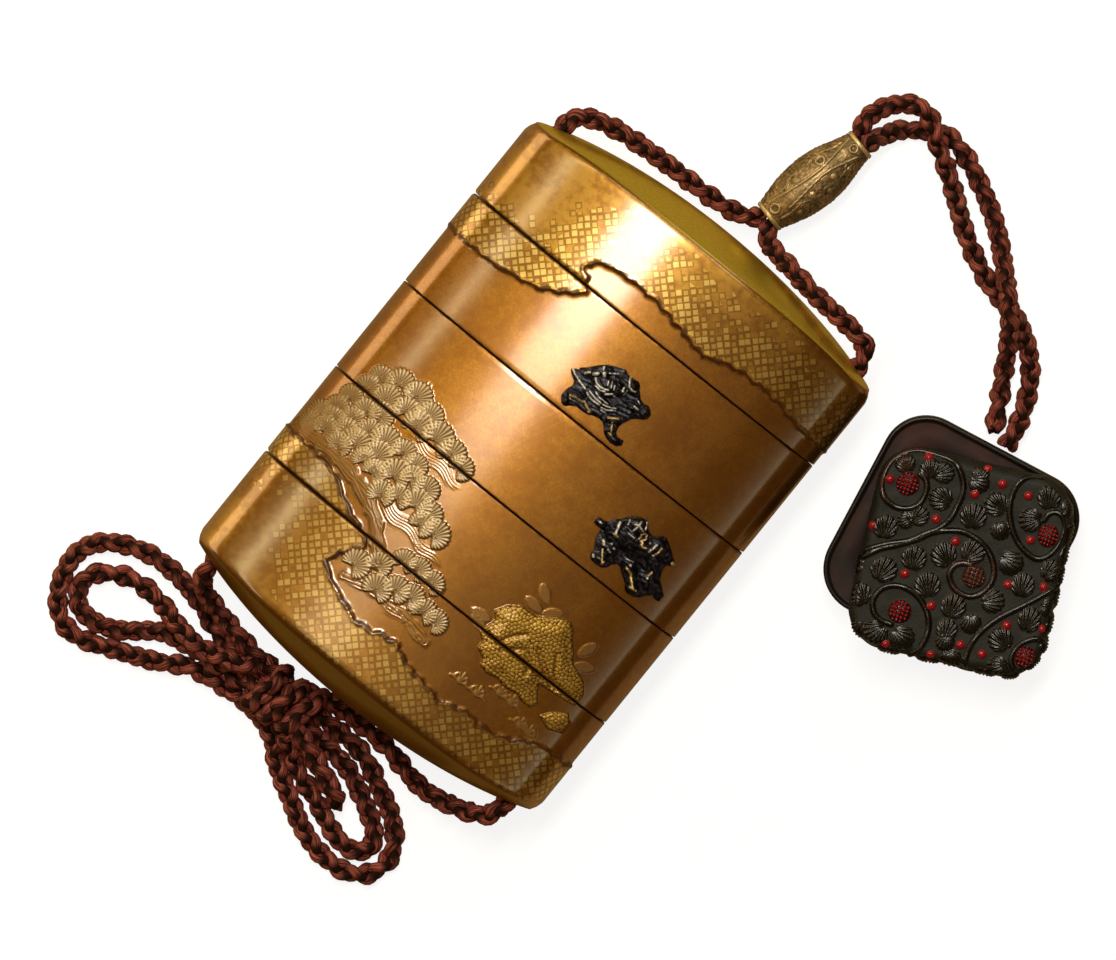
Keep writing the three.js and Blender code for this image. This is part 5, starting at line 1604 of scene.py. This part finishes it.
# %% Raise the bead's ornaments
def bead_relief(t, side):
    height = 0.04 * np.sin(6.1 * side + 2.2 * np.sin(1.9 * t)) * np.sin(5.2 * t + 1.7 * np.sin(2.6 * side))
    panel = 0.05 * smooth_between(np.abs(side), 1.9, 2.3) * np.sin(7.0 * t + 3.0 * np.sin(1.6 * side))
    height += panel * np.sin(5.0 * side + 2.0 * np.sin(2.1 * t))
    for middle_t, middle_side, radius, opening in CURLS:
        reach = np.hypot(t - middle_t, side - middle_side) / radius
        turn = np.arctan2(side - middle_side, t - middle_t) - opening - 1.1 * reach
        flutes = 0.5 + 0.5 * np.cos(8.0 * turn)
        shell = np.where(reach < 0.78, 0.19 * flutes, 0.0)
        rim = 0.2 * round_top((reach - 0.88) / 0.16)
        boss = 0.2 * round_top(reach / 0.28)
        height = np.where(reach < 1.08, np.maximum.reduce([shell, rim, boss]) - 0.08, height)
    between = (side < 0.9) & (side > -1.5)
    height = np.where(between, 0.35 * height, height)
    gold = np.zeros(t.shape)
    for half_width, rise, places in BEAD_RIBS:
        gap = distance_to(places, t, side) / half_width
        ridge = round_top(gap)
        groove = np.minimum(height, 0.0) - 0.06 * smooth_between(1.7 - gap, 0.0, 0.5)
        height = np.where(gap < 1.7, groove, height)
        height = np.maximum(height, rise * ridge - 0.2 * (ridge <= 0))
        gold = np.maximum(gold, ridge * rise / 0.22)
    for middle_t, middle_side, radius in RINGED:
        gap = np.hypot(t - middle_t, side - middle_side) / radius
        ring = round_top((gap - 0.78) / 0.24)
        core = 0.05 * round_top(gap / 0.4) - 0.05
        height = np.where(gap < 1.15, np.maximum(0.26 * ring - 0.05, core - 0.03), height)
        gold = np.maximum(gold, 0.8 * ring)
    for middle_t, middle_side, radius in STUDS:
        gap = np.hypot(t - middle_t, side - middle_side) / radius
        height = np.where(gap < 1.15, 0.26 * round_top(gap) - 0.05, height)
        gold = np.maximum(gold, 0.5 * round_top(gap))
    return height, gold


# %% Rings along the bead
def bead_plan(spacing):
    """For each ring: its place, how much carving, its lift, and how much of it is collar."""
    inner = BEAD_HALF - 0.6
    end = [(-BEAD_HALF, 0.0, lift, collar) for lift, collar in ((-1.0, 0.0), (-0.28, 0.2), (-0.06, 1.0))]
    for angle in (0.4, 0.9, 1.5, 2.2, 2.8):
        place = -BEAD_HALF + 0.3 * (1 - math.cos(angle))
        end.append((place, 0.0, 0.12 * math.sin(angle), 1.0))
    end.append((-inner, 0.0, -0.14, 0.0))
    middles = np.linspace(-inner + 0.12, inner - 0.12, int(2 * inner / spacing))
    other_end = [(-place, *rest) for place, *rest in end[::-1]]
    return end + [(place, 1.0, 0.0, 0.0) for place in middles] + other_end


def bead_rings(count=172, spacing=0.115):
    way = (BEAD_END - BEAD_START) / (2 * BEAD_HALF)
    side_way = np.array([way[1], -way[0]])
    middle = (BEAD_START + BEAD_END) / 2
    places, radii = np.array(BEAD_PROFILE).T
    angle = 2 * math.pi * np.arange(count) / count
    folded = np.arcsin(np.sin(angle))
    rings = []
    for t, carved, lift, collar in bead_plan(spacing):
        radius = float(np.interp(t, places, radii))
        along = np.full(count, t)
        rise, gold = bead_relief(along, radius * folded)
        reach = radius + carved * rise + lift
        x = middle[0] + way[0] * t + side_way[0] * reach * np.sin(angle)
        y = middle[1] + way[1] * t + side_way[1] * reach * np.sin(angle)
        masks = {"gold": carved * gold, "collar": np.full(count, collar), "rise": carved * rise}
        rings.append({
            "x": x, "y": y, "z": BEAD_Z + reach * np.cos(angle), "arc": angle - math.pi,
            "run": along, "masks": masks,
        })
    return rings[::-1]


def bead_mesh():
    mesh = stack_rings("cast_bead", bead_rings())
    middle = Vector((*(BEAD_START + BEAD_END) / 2, BEAD_Z))
    way = Vector((*(BEAD_END - BEAD_START), 0.0))
    bm = bmesh.new()
    place = Matrix.Translation(middle * MM) @ way.to_track_quat("Z", "Y").to_matrix().to_4x4()
    add_rod(bm, BEAD_BORE, 30, 40, place)
    return cut_away("cast_bead", mesh, bm)


# %% [markdown]
# ## Old brass
# The bead is antique brass: brown-green in the hollows, where patina and painted shade darken it,
# warmer and shinier on the ribs, and bright on the worn collars.

# %% Old brass
brass = Finish("old_brass")
millimetres = brass.millimetres()
cloud = brass.noise(millimetres, 0.55, 4.0)
brass.dress({
    "Base Color": brass.layers(
        (0.23, 0.155, 0.065),
        (brass.step(cloud, 0.35, 0.68), (0.46, 0.31, 0.145)),
        # Patina and painted shade: darker where the relief dips below the spindle.
        (brass.step(brass.mask("rise"), 0.02, -0.07), (0.062, 0.046, 0.02)),
        (brass.times(brass.mask("gold"), 0.6), (0.66, 0.5, 0.27)),
        (brass.mask("collar"), (0.72, 0.56, 0.29)),
    ),
    "Metallic": 0.75,
    "Roughness": brass.step(cloud, 0.3, 0.7, 0.5, 0.34),
})
brass.bumps(brass.noise(millimetres, 4.0, 3.0), 0.5, 0.0001)

# %% Keep the bead
keep("cast_bead", bead_mesh(), brass, "old_brass", "cord_bead")

# %% [markdown]
# ## The carved toggle
# The toggle has two halves of rounded square outline. The front half is carved lacquer: scrolling
# vines, fluted leaves, and cross-cut seed heads and berries in red, on a sunk matt ground. It is one
# sheet of fine grid, bent over the rounded edge, with the carving as height along its normal.

# %% The front half's sheet
TOGGLE_HALF = 15.25
TOGGLE_CORNER = 6.5
FRONT_BOTTOM = 6.7
FRONT_TOP = 12.2
FRONT_EDGE = 2.2
EXTRA = FRONT_EDGE * (math.pi / 2 - 1.0)
CORE = TOGGLE_HALF - TOGGLE_CORNER
SHEET_HALF = TOGGLE_HALF + EXTRA
SHEET_CORNER = TOGGLE_CORNER + EXTRA


def onto_rounded_square(x, y):
    """Send the square sheet to the rounded square; tell the way out and how far in each point is."""
    a = np.clip((np.abs(x) - CORE) / SHEET_CORNER, 0.0, 1.0)
    b = np.clip((np.abs(y) - CORE) / SHEET_CORNER, 0.0, 1.0)
    out_x = a * np.sqrt(1.0 - b * b / 2)
    out_y = b * np.sqrt(1.0 - a * a / 2)
    far = np.maximum(np.hypot(out_x, out_y), 1e-9)
    new_x = np.sign(x) * (np.minimum(np.abs(x), CORE) + SHEET_CORNER * out_x)
    new_y = np.sign(y) * (np.minimum(np.abs(y), CORE) + SHEET_CORNER * out_y)
    return new_x, new_y, np.sign(x) * out_x / far, np.sign(y) * out_y / far, SHEET_CORNER * (1.0 - far)


def front_sheet(spacing, drops):
    bm = bmesh.new()
    count = int(round(2 * SHEET_HALF / spacing))
    bmesh.ops.create_grid(bm, x_segments=count, y_segments=count, size=SHEET_HALF)
    drop = bm.verts.layers.int.new("drop")
    loop = [edge for edge in bm.edges if edge.is_boundary]
    for k in range(1, drops + 1):
        loop = extrude_loop(bm, loop, drop, k)
    bmesh.ops.edgeloop_fill(bm, edges=loop)
    bmesh.ops.recalc_face_normals(bm, faces=bm.faces)
    return bm


# %% [markdown]
# ## What is carved
# Six vines scroll over the front, each through its own places. Leaves fill the spaces between
# them, and each scroll ends round a seed head.

# %% Vines
VINES = [
    [
        (-14.5, -1.5), (-11.2, 0.3), (-8.4, 1.4), (-6.3, 2.9), (-4.5, 4.1), (-3.2, 5.9), (-2.6, 8),
        (-2.3, 9.8), (-2.6, 11.3), (-3.5, 12.9), (-4.5, 13.9), (-6.3, 14.4), (-8.6, 14.6),
        (-10.7, 14.3), (-12.5, 13.1), (-13.5, 11.6), (-13.9, 9.8), (-13.8, 8), (-13, 6.6), (-11.2, 5.7),
        (-9.4, 5.9), (-8.1, 6.8), (-7.5, 8.3), (-7.5, 9.5), (-8, 10.6), (-8.9, 11),
    ],
    [
        (8.1, 14.7), (6.3, 14.2), (5.1, 12.9), (4.6, 10.8), (4.7, 9), (5.4, 7), (6.5, 5.2), (8.1, 3.75),
        (9.9, 3), (11.4, 3.5), (12.7, 4.9), (13.35, 6.7), (13.35, 8.5), (12.6, 9.8), (11.5, 10.2),
        (10.4, 9.7), (9.9, 8.6),
    ],
    [
        (-14.2, -2.3), (-12, -0.6), (-9.7, 0.5), (-7.3, 1.8), (-5.3, 3.3), (-3.2, 4.1), (-1.2, 4.4),
        (0.9, 3.9), (2.7, 2.9), (4, 1.3), (4.6, -0.5), (4.35, -2.3), (3.3, -3.7), (1.9, -4.4),
        (0.4, -4.2), (-0.9, -3.3), (-1.6, -1.8), (-1.1, -0.5), (0.1, 0.1), (1.1, 0),
    ],
    [
        (14.9, 0), (12.45, -1.8), (9.9, -3.8), (7.3, -5.9), (5.8, -7.4), (4.5, -9.2), (3.6, -11.3),
        (3.4, -13.3), (3.7, -15.1),
    ],
    [
        (-4.5, -15.1), (-3.4, -13.3), (-2.8, -11.5), (-2.8, -9.7), (-3.5, -7.9), (-4.8, -6.4),
        (-6.6, -5.4), (-8.6, -5.2), (-10.3, -5.9), (-11.2, -7.2), (-11.3, -8.5), (-10.8, -9.7),
        (-9.7, -10.5), (-8.1, -10.8),
    ],
    [(14.5, -8.2), (12.7, -8.2), (11, -9.1), (10, -10.4), (9.75, -11.8), (10.3, -13), (11.6, -13.4)],
]

# %% Leaves, seed heads and berries
SEED_HEADS = [(-10.25, 9.3), (11.1, 6.6), (1.9, -1.5), (-7.3, -8.7), (11.9, -11.2)]
WORN_HEAD = 2
# Leaves: place, the way each one opens in degrees, and its size.
TOGGLE_LEAVES = [
    (-11.3, 12.1, 120, 1.4), (-7.6, 12.1, 110, 1.5), (-5.6, 12, 30, 1.5), (-5.2, 8.3, 165, 1.65),
    (-9.4, 4.2, 200, 1.2), (-7.7, 5.2, 60, 1.45), (-12, 2.6, 95, 1.7), (-0.5, 13.1, 90, 1.2),
    (-0.4, 11.7, -10, 1.45), (2.7, 9.3, 150, 1.7), (-0.1, 6.9, 95, 1.85), (4.1, 5.8, -60, 1.35),
    (9.9, 11.9, 100, 1.7), (8, 8.2, 200, 1.65), (13.4, 11.3, 40, 1.4), (1, 2, 60, 1.75),
    (6.6, 1.6, -20, 1.75), (12.7, 1.8, 60, 1.6), (-7, -0.8, 90, 1.75), (-3, 0.6, 130, 1.8),
    (-10.8, -3.4, 70, 1.85), (-4.3, -4.1, 110, 1.8), (9, -1.1, 90, 1.7), (5.3, -4.3, 20, 1.65),
    (0, -6.3, 80, 1.75), (3, -8.1, -80, 1.45), (-13.5, -7.6, 130, 1.7), (-0.2, -9.7, 90, 1.5),
    (0, -11.5, -90, 1.3), (11.2, -5.7, 80, 1.8), (7.6, -9.4, 140, 1.7), (13.8, -3.4, 0, 1.4),
    (-10.1, -12.6, 230, 1.9), (-6.2, -12.3, -30, 1.8), (1.4, -14, -60, 1.65), (8.1, -13.3, 200, 1.5),
    (14.9, 7.6, 10, 1.6), (15.2, 4.4, -10, 1.5), (15.6, 1.4, 0, 1.4), (15.6, -1.8, 0, 1.5),
    (15.6, -5.6, 0, 1.6), (15.4, -8.9, -20, 1.5), (14.4, -12.6, -40, 1.6), (10.5, -15.4, -70, 1.5),
    (6.4, -15.6, -90, 1.6), (-1.9, -15.7, -100, 1.6), (-7.6, -15.7, -90, 1.6), (-15.4, -3.6, 180, 1.5),
    (-12.8, -12.9, 220, 1.5),
]
BERRIES = [
    (-8.2, 13.8), (-12.9, 9.4), (-0.6, 10), (2.9, 12.3), (6.9, 11.5), (-5.2, 5.3), (-1.8, 2.8),
    (8.6, 5.4), (-7.8, -3.3), (-3.1, -6.9), (6.9, -1.5), (12.2, -0.7), (8, -7.2), (13.6, -6.6),
    (2.2, -11.4), (5.5, -12), (-8.2, -13.8), (-1.6, -13.8), (-14, 2.4), (0.4, 14.2),
]
VINE_HALF_WIDTH = 0.42
SEED_RADIUS = 1.62
BERRY_RADIUS = 0.6


# %% Carve vines, leaves and round heads
def vine_carving(x, y):
    height = np.zeros(x.shape)
    for places in VINES:
        line = smooth_line([(px, py, 0.0) for px, py in places], 0.35)[1][:, :2]
        near = (
            (x > line[:, 0].min() - 1) & (x < line[:, 0].max() + 1)
            & (y > line[:, 1].min() - 1) & (y < line[:, 1].max() + 1)
        )
        gap = distance_to(line, x[near], y[near]) / VINE_HALF_WIDTH
        height[near] = np.maximum(height[near], round_top(gap))
    return height


def leaf_carving(x, y):
    """Each leaf is a low dome, scored by flutes that spread from its root."""
    height = np.zeros(x.shape)
    for leaf_x, leaf_y, opens, size in TOGGLE_LEAVES:
        near = np.hypot(x - leaf_x, y - leaf_y) < 1.3 * size
        along, beside = along_and_beside(x[near] - leaf_x, y[near] - leaf_y, opens)
        angle = np.arctan2(beside, along + 1.15 * size)
        flute = 0.5 + 0.5 * np.cos(27.0 * angle)
        notch = 0.25 * np.exp(-((beside / 0.3) ** 2)) * (along < 0)
        room = 1.0 - (np.hypot(along, beside) / (size * (1.02 + 0.06 * flute))) ** 2 - notch
        made = np.sqrt(np.clip(room, 0.0, 1.0)) * (0.38 + 0.46 * flute)
        height[near] = np.maximum(height[near], made)
    return height


def round_carving(x, y, places, radius):
    height = np.zeros(x.shape)
    for place_x, place_y in places:
        height = np.maximum(height, round_top(np.hypot(x - place_x, y - place_y) / radius))
    return height


# %% Carve the front half
FRONT_HALF_AT = (56.4, 27.7, 25.95)
BACK_HALF_AT = (53.5, 28.6, 10.95)
DROPS = 9
SIDE_HEIGHT = FRONT_TOP - FRONT_EDGE - FRONT_BOTTOM


def place_half(x, y, z, at):
    """Turn a half by its degrees, and move it to its centre."""
    along, beside = along_and_beside(x, y, -at[2])
    return np.stack([at[0] + along, at[1] + beside, z], axis=1)


def carve_front():
    mesh = mesh_of("toggle_front_carved", front_sheet(0.125, DROPS))
    drop = take_numbers(mesh, "drop")
    x, y, way_x, way_y, inset = onto_rounded_square(*read_places(mesh)[:, :2].T)
    down = SIDE_HEIGHT * drop / DROPS
    u, v = x + way_x * down, y + way_y * down
    vines = vine_carving(u, v)
    leaves = leaf_carving(u, v)
    heads = round_carving(u, v, SEED_HEADS, SEED_RADIUS)
    berries = round_carving(u, v, BERRIES, BERRY_RADIUS)
    uneven = 0.02 * np.sin(1.7 * u + np.sin(1.1 * v)) + 0.02 * np.sin(2.1 * v + np.sin(1.3 * u))
    height = np.maximum.reduce([0.42 * vines, 0.62 * leaves, 0.62 * heads, 0.48 * berries]) + uneven
    lean = np.clip(inset / FRONT_EDGE, 0.0, math.pi / 2)
    height -= 0.12 + 0.5 * np.cos(lean) ** 2
    height = np.where(drop == DROPS, -0.75, height)
    on_edge = inset < FRONT_EDGE * math.pi / 2
    true_inset = np.where(on_edge, FRONT_EDGE * (1 - np.cos(lean)), inset - EXTRA)
    shift = inset - true_inset - EXTRA - 0.55 * smooth_between(x, 9.0, 15.0)
    level = FRONT_TOP - FRONT_EDGE + FRONT_EDGE * np.sin(lean) - down + np.sin(lean) * height
    sideways = np.cos(lean) * height + shift
    done = place_half(x + way_x * sideways, y + way_y * sideways, level, FRONT_HALF_AT)
    put_places(mesh, done)
    # The black is rubbed through round one seed head and near one corner.
    worn = np.hypot(u - SEED_HEADS[WORN_HEAD][0], v - SEED_HEADS[WORN_HEAD][1])
    worn = np.exp(-((worn / 3.4) ** 2)) + 0.7 * np.exp(-(((u + 13) / 6) ** 2 + ((v - 12) / 7) ** 2))
    mark_points(mesh, {"vine": vines, "leaf": leaves, "head": heads, "berry": berries, "worn": worn})
    corners = corner_points(mesh)
    lay_flat(mesh, "carving", u[corners], v[corners])
    return mesh


# %% [markdown]
# ## Finishes of the toggle
# The carved half is nearly black. Its ground is matt and a little green, the raised work is glossy,
# and old rubbing shows the red lacquer under the black. The back half is plain glossy brown.

# %% Carved lacquer
black = Finish("carved_lacquer")
millimetres = black.millimetres()
cloud = black.noise(millimetres, 0.45, 4.0)
grain = black.noise(millimetres, 3.0, 4.0)
leaf, vine, worn = [black.mask(name) for name in ("leaf", "vine", "worn")]
flat = black.node("UVMap", uv_map="carving").outputs["UV"]
cross_cuts = [
    black.times_plus(black.maths("SINE", black.times(place, 10.8)), 0.5, 0.5)
    for place in black.split(black.turned(flat, 0.12))[:2]
]
studs = black.times(*cross_cuts)
on_head = black.step(black.mask("head"), 0.02, 0.2)
on_berry = black.step(black.mask("berry"), 0.02, 0.2)
raised = black.larger(black.step(leaf, 0.02, 0.12), black.step(vine, 0.05, 0.4))
rubbed = black.times(
    black.step(black.maths("ADD", cloud, worn), 0.75, 1.25),
    black.larger(black.step(leaf, 0.3, 0.8), black.step(vine, 0.6, 0.95)),
)
red = black.layers(
    (0.02, 0.002, 0.002),
    (black.step(studs, 0.12, 0.5), (0.46, 0.01, 0.02)),
    (black.step(worn, 0.5, 0.9), (0.06, 0.018, 0.012)),
)
matt = black.step(black.larger(raised, on_head, on_berry), 0.0, 1.0, 0.62, 0.18)
black.dress({
    "Base Color": black.layers(
        (0.0065, 0.007, 0.0045),
        (black.step(cloud, 0.35, 0.7), (0.0125, 0.013, 0.0085)),
        (raised, (0.0035, 0.003, 0.003)),
        (black.times(rubbed, 0.8), (0.085, 0.026, 0.016)),
        (on_head, red),
        (on_berry, (0.32, 0.006, 0.012)),
    ),
    "Roughness": black.times_plus(on_berry, -0.08, matt),
    "Coat Weight": black.step(black.larger(raised, on_berry), 0.0, 1.0, 0.0, 0.3),
    "Coat Roughness": 0.1,
    "Specular IOR Level": 0.38,
})
lift = black.times(studs, black.times(on_head, 4.0))
black.bumps(black.maths("ADD", lift, black.times(grain, 0.5)), 0.8, 0.0001)

# %% Brown lacquer
brown = Finish("brown_lacquer")
millimetres = brown.millimetres()
scratch = brown.group(scratches, Vector=millimetres, Scale=1.3, Turn=0.2)["Mask"]
brown.dress({
    "Base Color": brown.layers(
        (0.013, 0.005, 0.005),
        (brown.step(brown.noise(millimetres, 0.2, 5.0), 0.35, 0.7), (0.048, 0.014, 0.009)),
        (brown.step(brown.mask("rim"), 0.2, 0.8), (0.01, 0.008, 0.007)),
    ),
    "Roughness": brown.times_plus(scratch, 0.04, 0.34),
    "Specular IOR Level": 0.25,
    "Coat Weight": 0.08,
    "Coat Roughness": 0.15,
})

# %% [markdown]
# ## The back half
# The back half is a stack of rounded squares: underside, wall, raised rim, sunk face, and the well
# in its middle that hides the knot. The cord enters the well through a slot in its upper side.


# %% A ring of the back half
def square_ring(half, corner, level, rim=0.0, pieces=14):
    places = []
    for quarter in range(4):
        start = math.pi / 2 * quarter
        angle = np.linspace(start, start + math.pi / 2, pieces + 1)
        middle = start + math.pi / 4
        away = (half - corner) * math.sqrt(2.0)
        places.append(np.stack([
            away * math.cos(middle) + corner * np.cos(angle),
            away * math.sin(middle) + corner * np.sin(angle),
        ]))
    x, y = np.concatenate(places, axis=1)
    done = place_half(x, y, np.full(len(x), level), BACK_HALF_AT)
    return {
        "x": done[:, 0], "y": done[:, 1], "z": done[:, 2], "arc": np.arange(len(x)) - len(x) / 2,
        "run": done[:, 2], "masks": {"rim": np.full(len(x), rim)},
    }


def back_rings():
    rings = [square_ring(2.0, 0.5, 0.0), square_ring(13.2, 5.0, 0.0)]
    for angle in np.linspace(-math.pi / 2, 0.0, 9):
        inset = 1.6 * (1.0 - math.cos(angle))
        level = 1.6 * (1.0 + math.sin(angle))
        rings.append(square_ring(TOGGLE_HALF - inset, TOGGLE_CORNER - inset, level))
    rings += [square_ring(TOGGLE_HALF, TOGGLE_CORNER, level) for level in (3.0, 4.4, 5.8)]
    rings.append(square_ring(15.22, 6.47, 6.15, 0.6))
    for angle in np.linspace(0.15, math.pi - 0.3, 9):
        inset = 0.33 * (1.0 - math.cos(angle))
        rings.append(square_ring(15.2 - inset, 6.45 - inset, 6.15 + 0.25 * math.sin(angle), 1.0))
    rings += [square_ring(*ring) for ring in (
        (14.45, 5.7, 6.05, 0.7), (14.2, 5.45, 6.03), (13.0, 5.0, 6.05), (8.4, 3.1, 6.05),
        (8.2, 3.0, 5.9), (8.2, 3.0, 1.8), (8.0, 2.9, 1.6), (2.0, 0.5, 1.6),
    )]
    return rings


def back_half():
    mesh = stack_rings("toggle_back_plain", back_rings())
    bm = bmesh.new()
    slot = place_half(*np.array([[0.0], [17.5], [3.2]]), BACK_HALF_AT)[0]
    place = Matrix.Translation(Vector(slot) * MM)
    place = place @ Matrix.Rotation(math.radians(BACK_HALF_AT[2]), 4, "Z")
    place = place @ Matrix.Diagonal((7.2 * MM, 25.0 * MM, 3.4 * MM, 1.0))
    bmesh.ops.create_cube(bm, size=1.0, matrix=place)
    return cut_away("toggle_back_plain", mesh, bm)


# %% Keep both halves
keep("toggle_cover", carve_front(), black, "black_lacquer", "toggle_front")
keep("toggle_base", back_half(), brown, "brown_lacquer", "toggle_back")

# %% [markdown]
# ## Floor and light
# The object lies on a plain pale floor, which looks evenly lit to the camera and warm to the object.
# A large soft window high on the left gives the broad highlight down the case, and a dimmer one
# carries it on toward the base. A narrow strip and a low panel further left give the two slim
# highlights. A far wall lights the lid's dome, two warm ceilings fill the rest, and a weak strip on
# the right draws that edge.

# %% Floor
bm = bmesh.new()
bmesh.ops.create_grid(bm, x_segments=1, y_segments=1, size=3.0)
floor_object = into_scene("floor", mesh_of("floor", bm))
pale = Finish("pale_floor")
seen = pale.node("LightPath").outputs["Is Camera Ray"]
pale.dress({
    "Base Color": pale.blend(seen, (0.36, 0.28, 0.16), (0.3, 0.3, 0.3)),
    "Roughness": 0.9,
    "Specular IOR Level": 0.1,
    "Emission Color": (1.0, 1.0, 1.0),
    "Emission Strength": pale.times(seen, 0.86),
})
floor_object.data.materials.append(pale.material)


# %% Lights
def soft_light(name, place, aim, width, length, radiance, tint):
    """An area light with its long side along Y; radiance is what a mirror would see."""
    light = bpy.data.lights.new(name, "AREA")
    light.shape = "RECTANGLE"
    light.size = width
    light.size_y = length
    light.energy = radiance * math.pi * width * length
    light.color = tint
    holder = into_scene(name, light)
    back = (Vector(place) - Vector(aim)).normalized()
    side = Vector((0.0, 1.0, 0.0)).cross(back).normalized()
    holder.matrix_world = Matrix.Translation(place) @ (
        Matrix((side, back.cross(side), back)).transposed().to_4x4()
    )


LIGHTS = {
    "high_window": ((-0.24, 0.35, 1.0), (0, 0.35, 0), 0.21, 0.73, 12.6, (1.0, 0.97, 0.88)),
    "high_window_low_end": ((-0.237, -0.33, 1.0), (0, -0.33, 0), 0.2, 0.6, 0.9, (1.0, 0.82, 0.42)),
    "strip": ((-0.61, 0, 0.81), (0, 0, 0), 0.036, 1.6, 5.5, (1.0, 0.82, 0.45)),
    "side_panel": ((-1.0, 0, 0.22), (0, 0, 0), 0.6, 1.6, 1.9, (1.0, 0.78, 0.42)),
    "far_wall": ((-0.15, 0.95, 0.75), (-0.15, 0, 0), 0.7, 0.4, 1.5, (1.0, 0.9, 0.5)),
    "warm_ceiling": ((-0.03, 0, 1.3), (-0.03, 0, 0), 0.75, 1.6, 0.245, (1.0, 0.7, 0.28)),
    "warm_ceiling_far": ((0.55, 0, 1.3), (0.55, 0, 0), 0.4, 1.6, 0.12, (1.0, 0.7, 0.3)),
    "right_strip": ((0.72, -0.25, 0.68), (0, -0.25, 0), 0.16, 0.7, 0.5, (0.95, 1.0, 0.75)),
}
for name, light in LIGHTS.items():
    soft_light(name, *light)
world = bpy.data.worlds.new("room")
bpy.context.scene.world = world
world.use_nodes = True
room = Wires(world.node_tree)
looked_at = room.node("LightPath").outputs["Is Camera Ray"]
room_light = room.blend(looked_at, (0.08, 0.036, 0.009), (1.0, 1.0, 1.0))
room.feed(room.tree.nodes["Background"].inputs["Color"], room_light)
bpy.context.scene.view_settings.view_transform = "Standard"
print("lights:", len(bpy.data.lights))
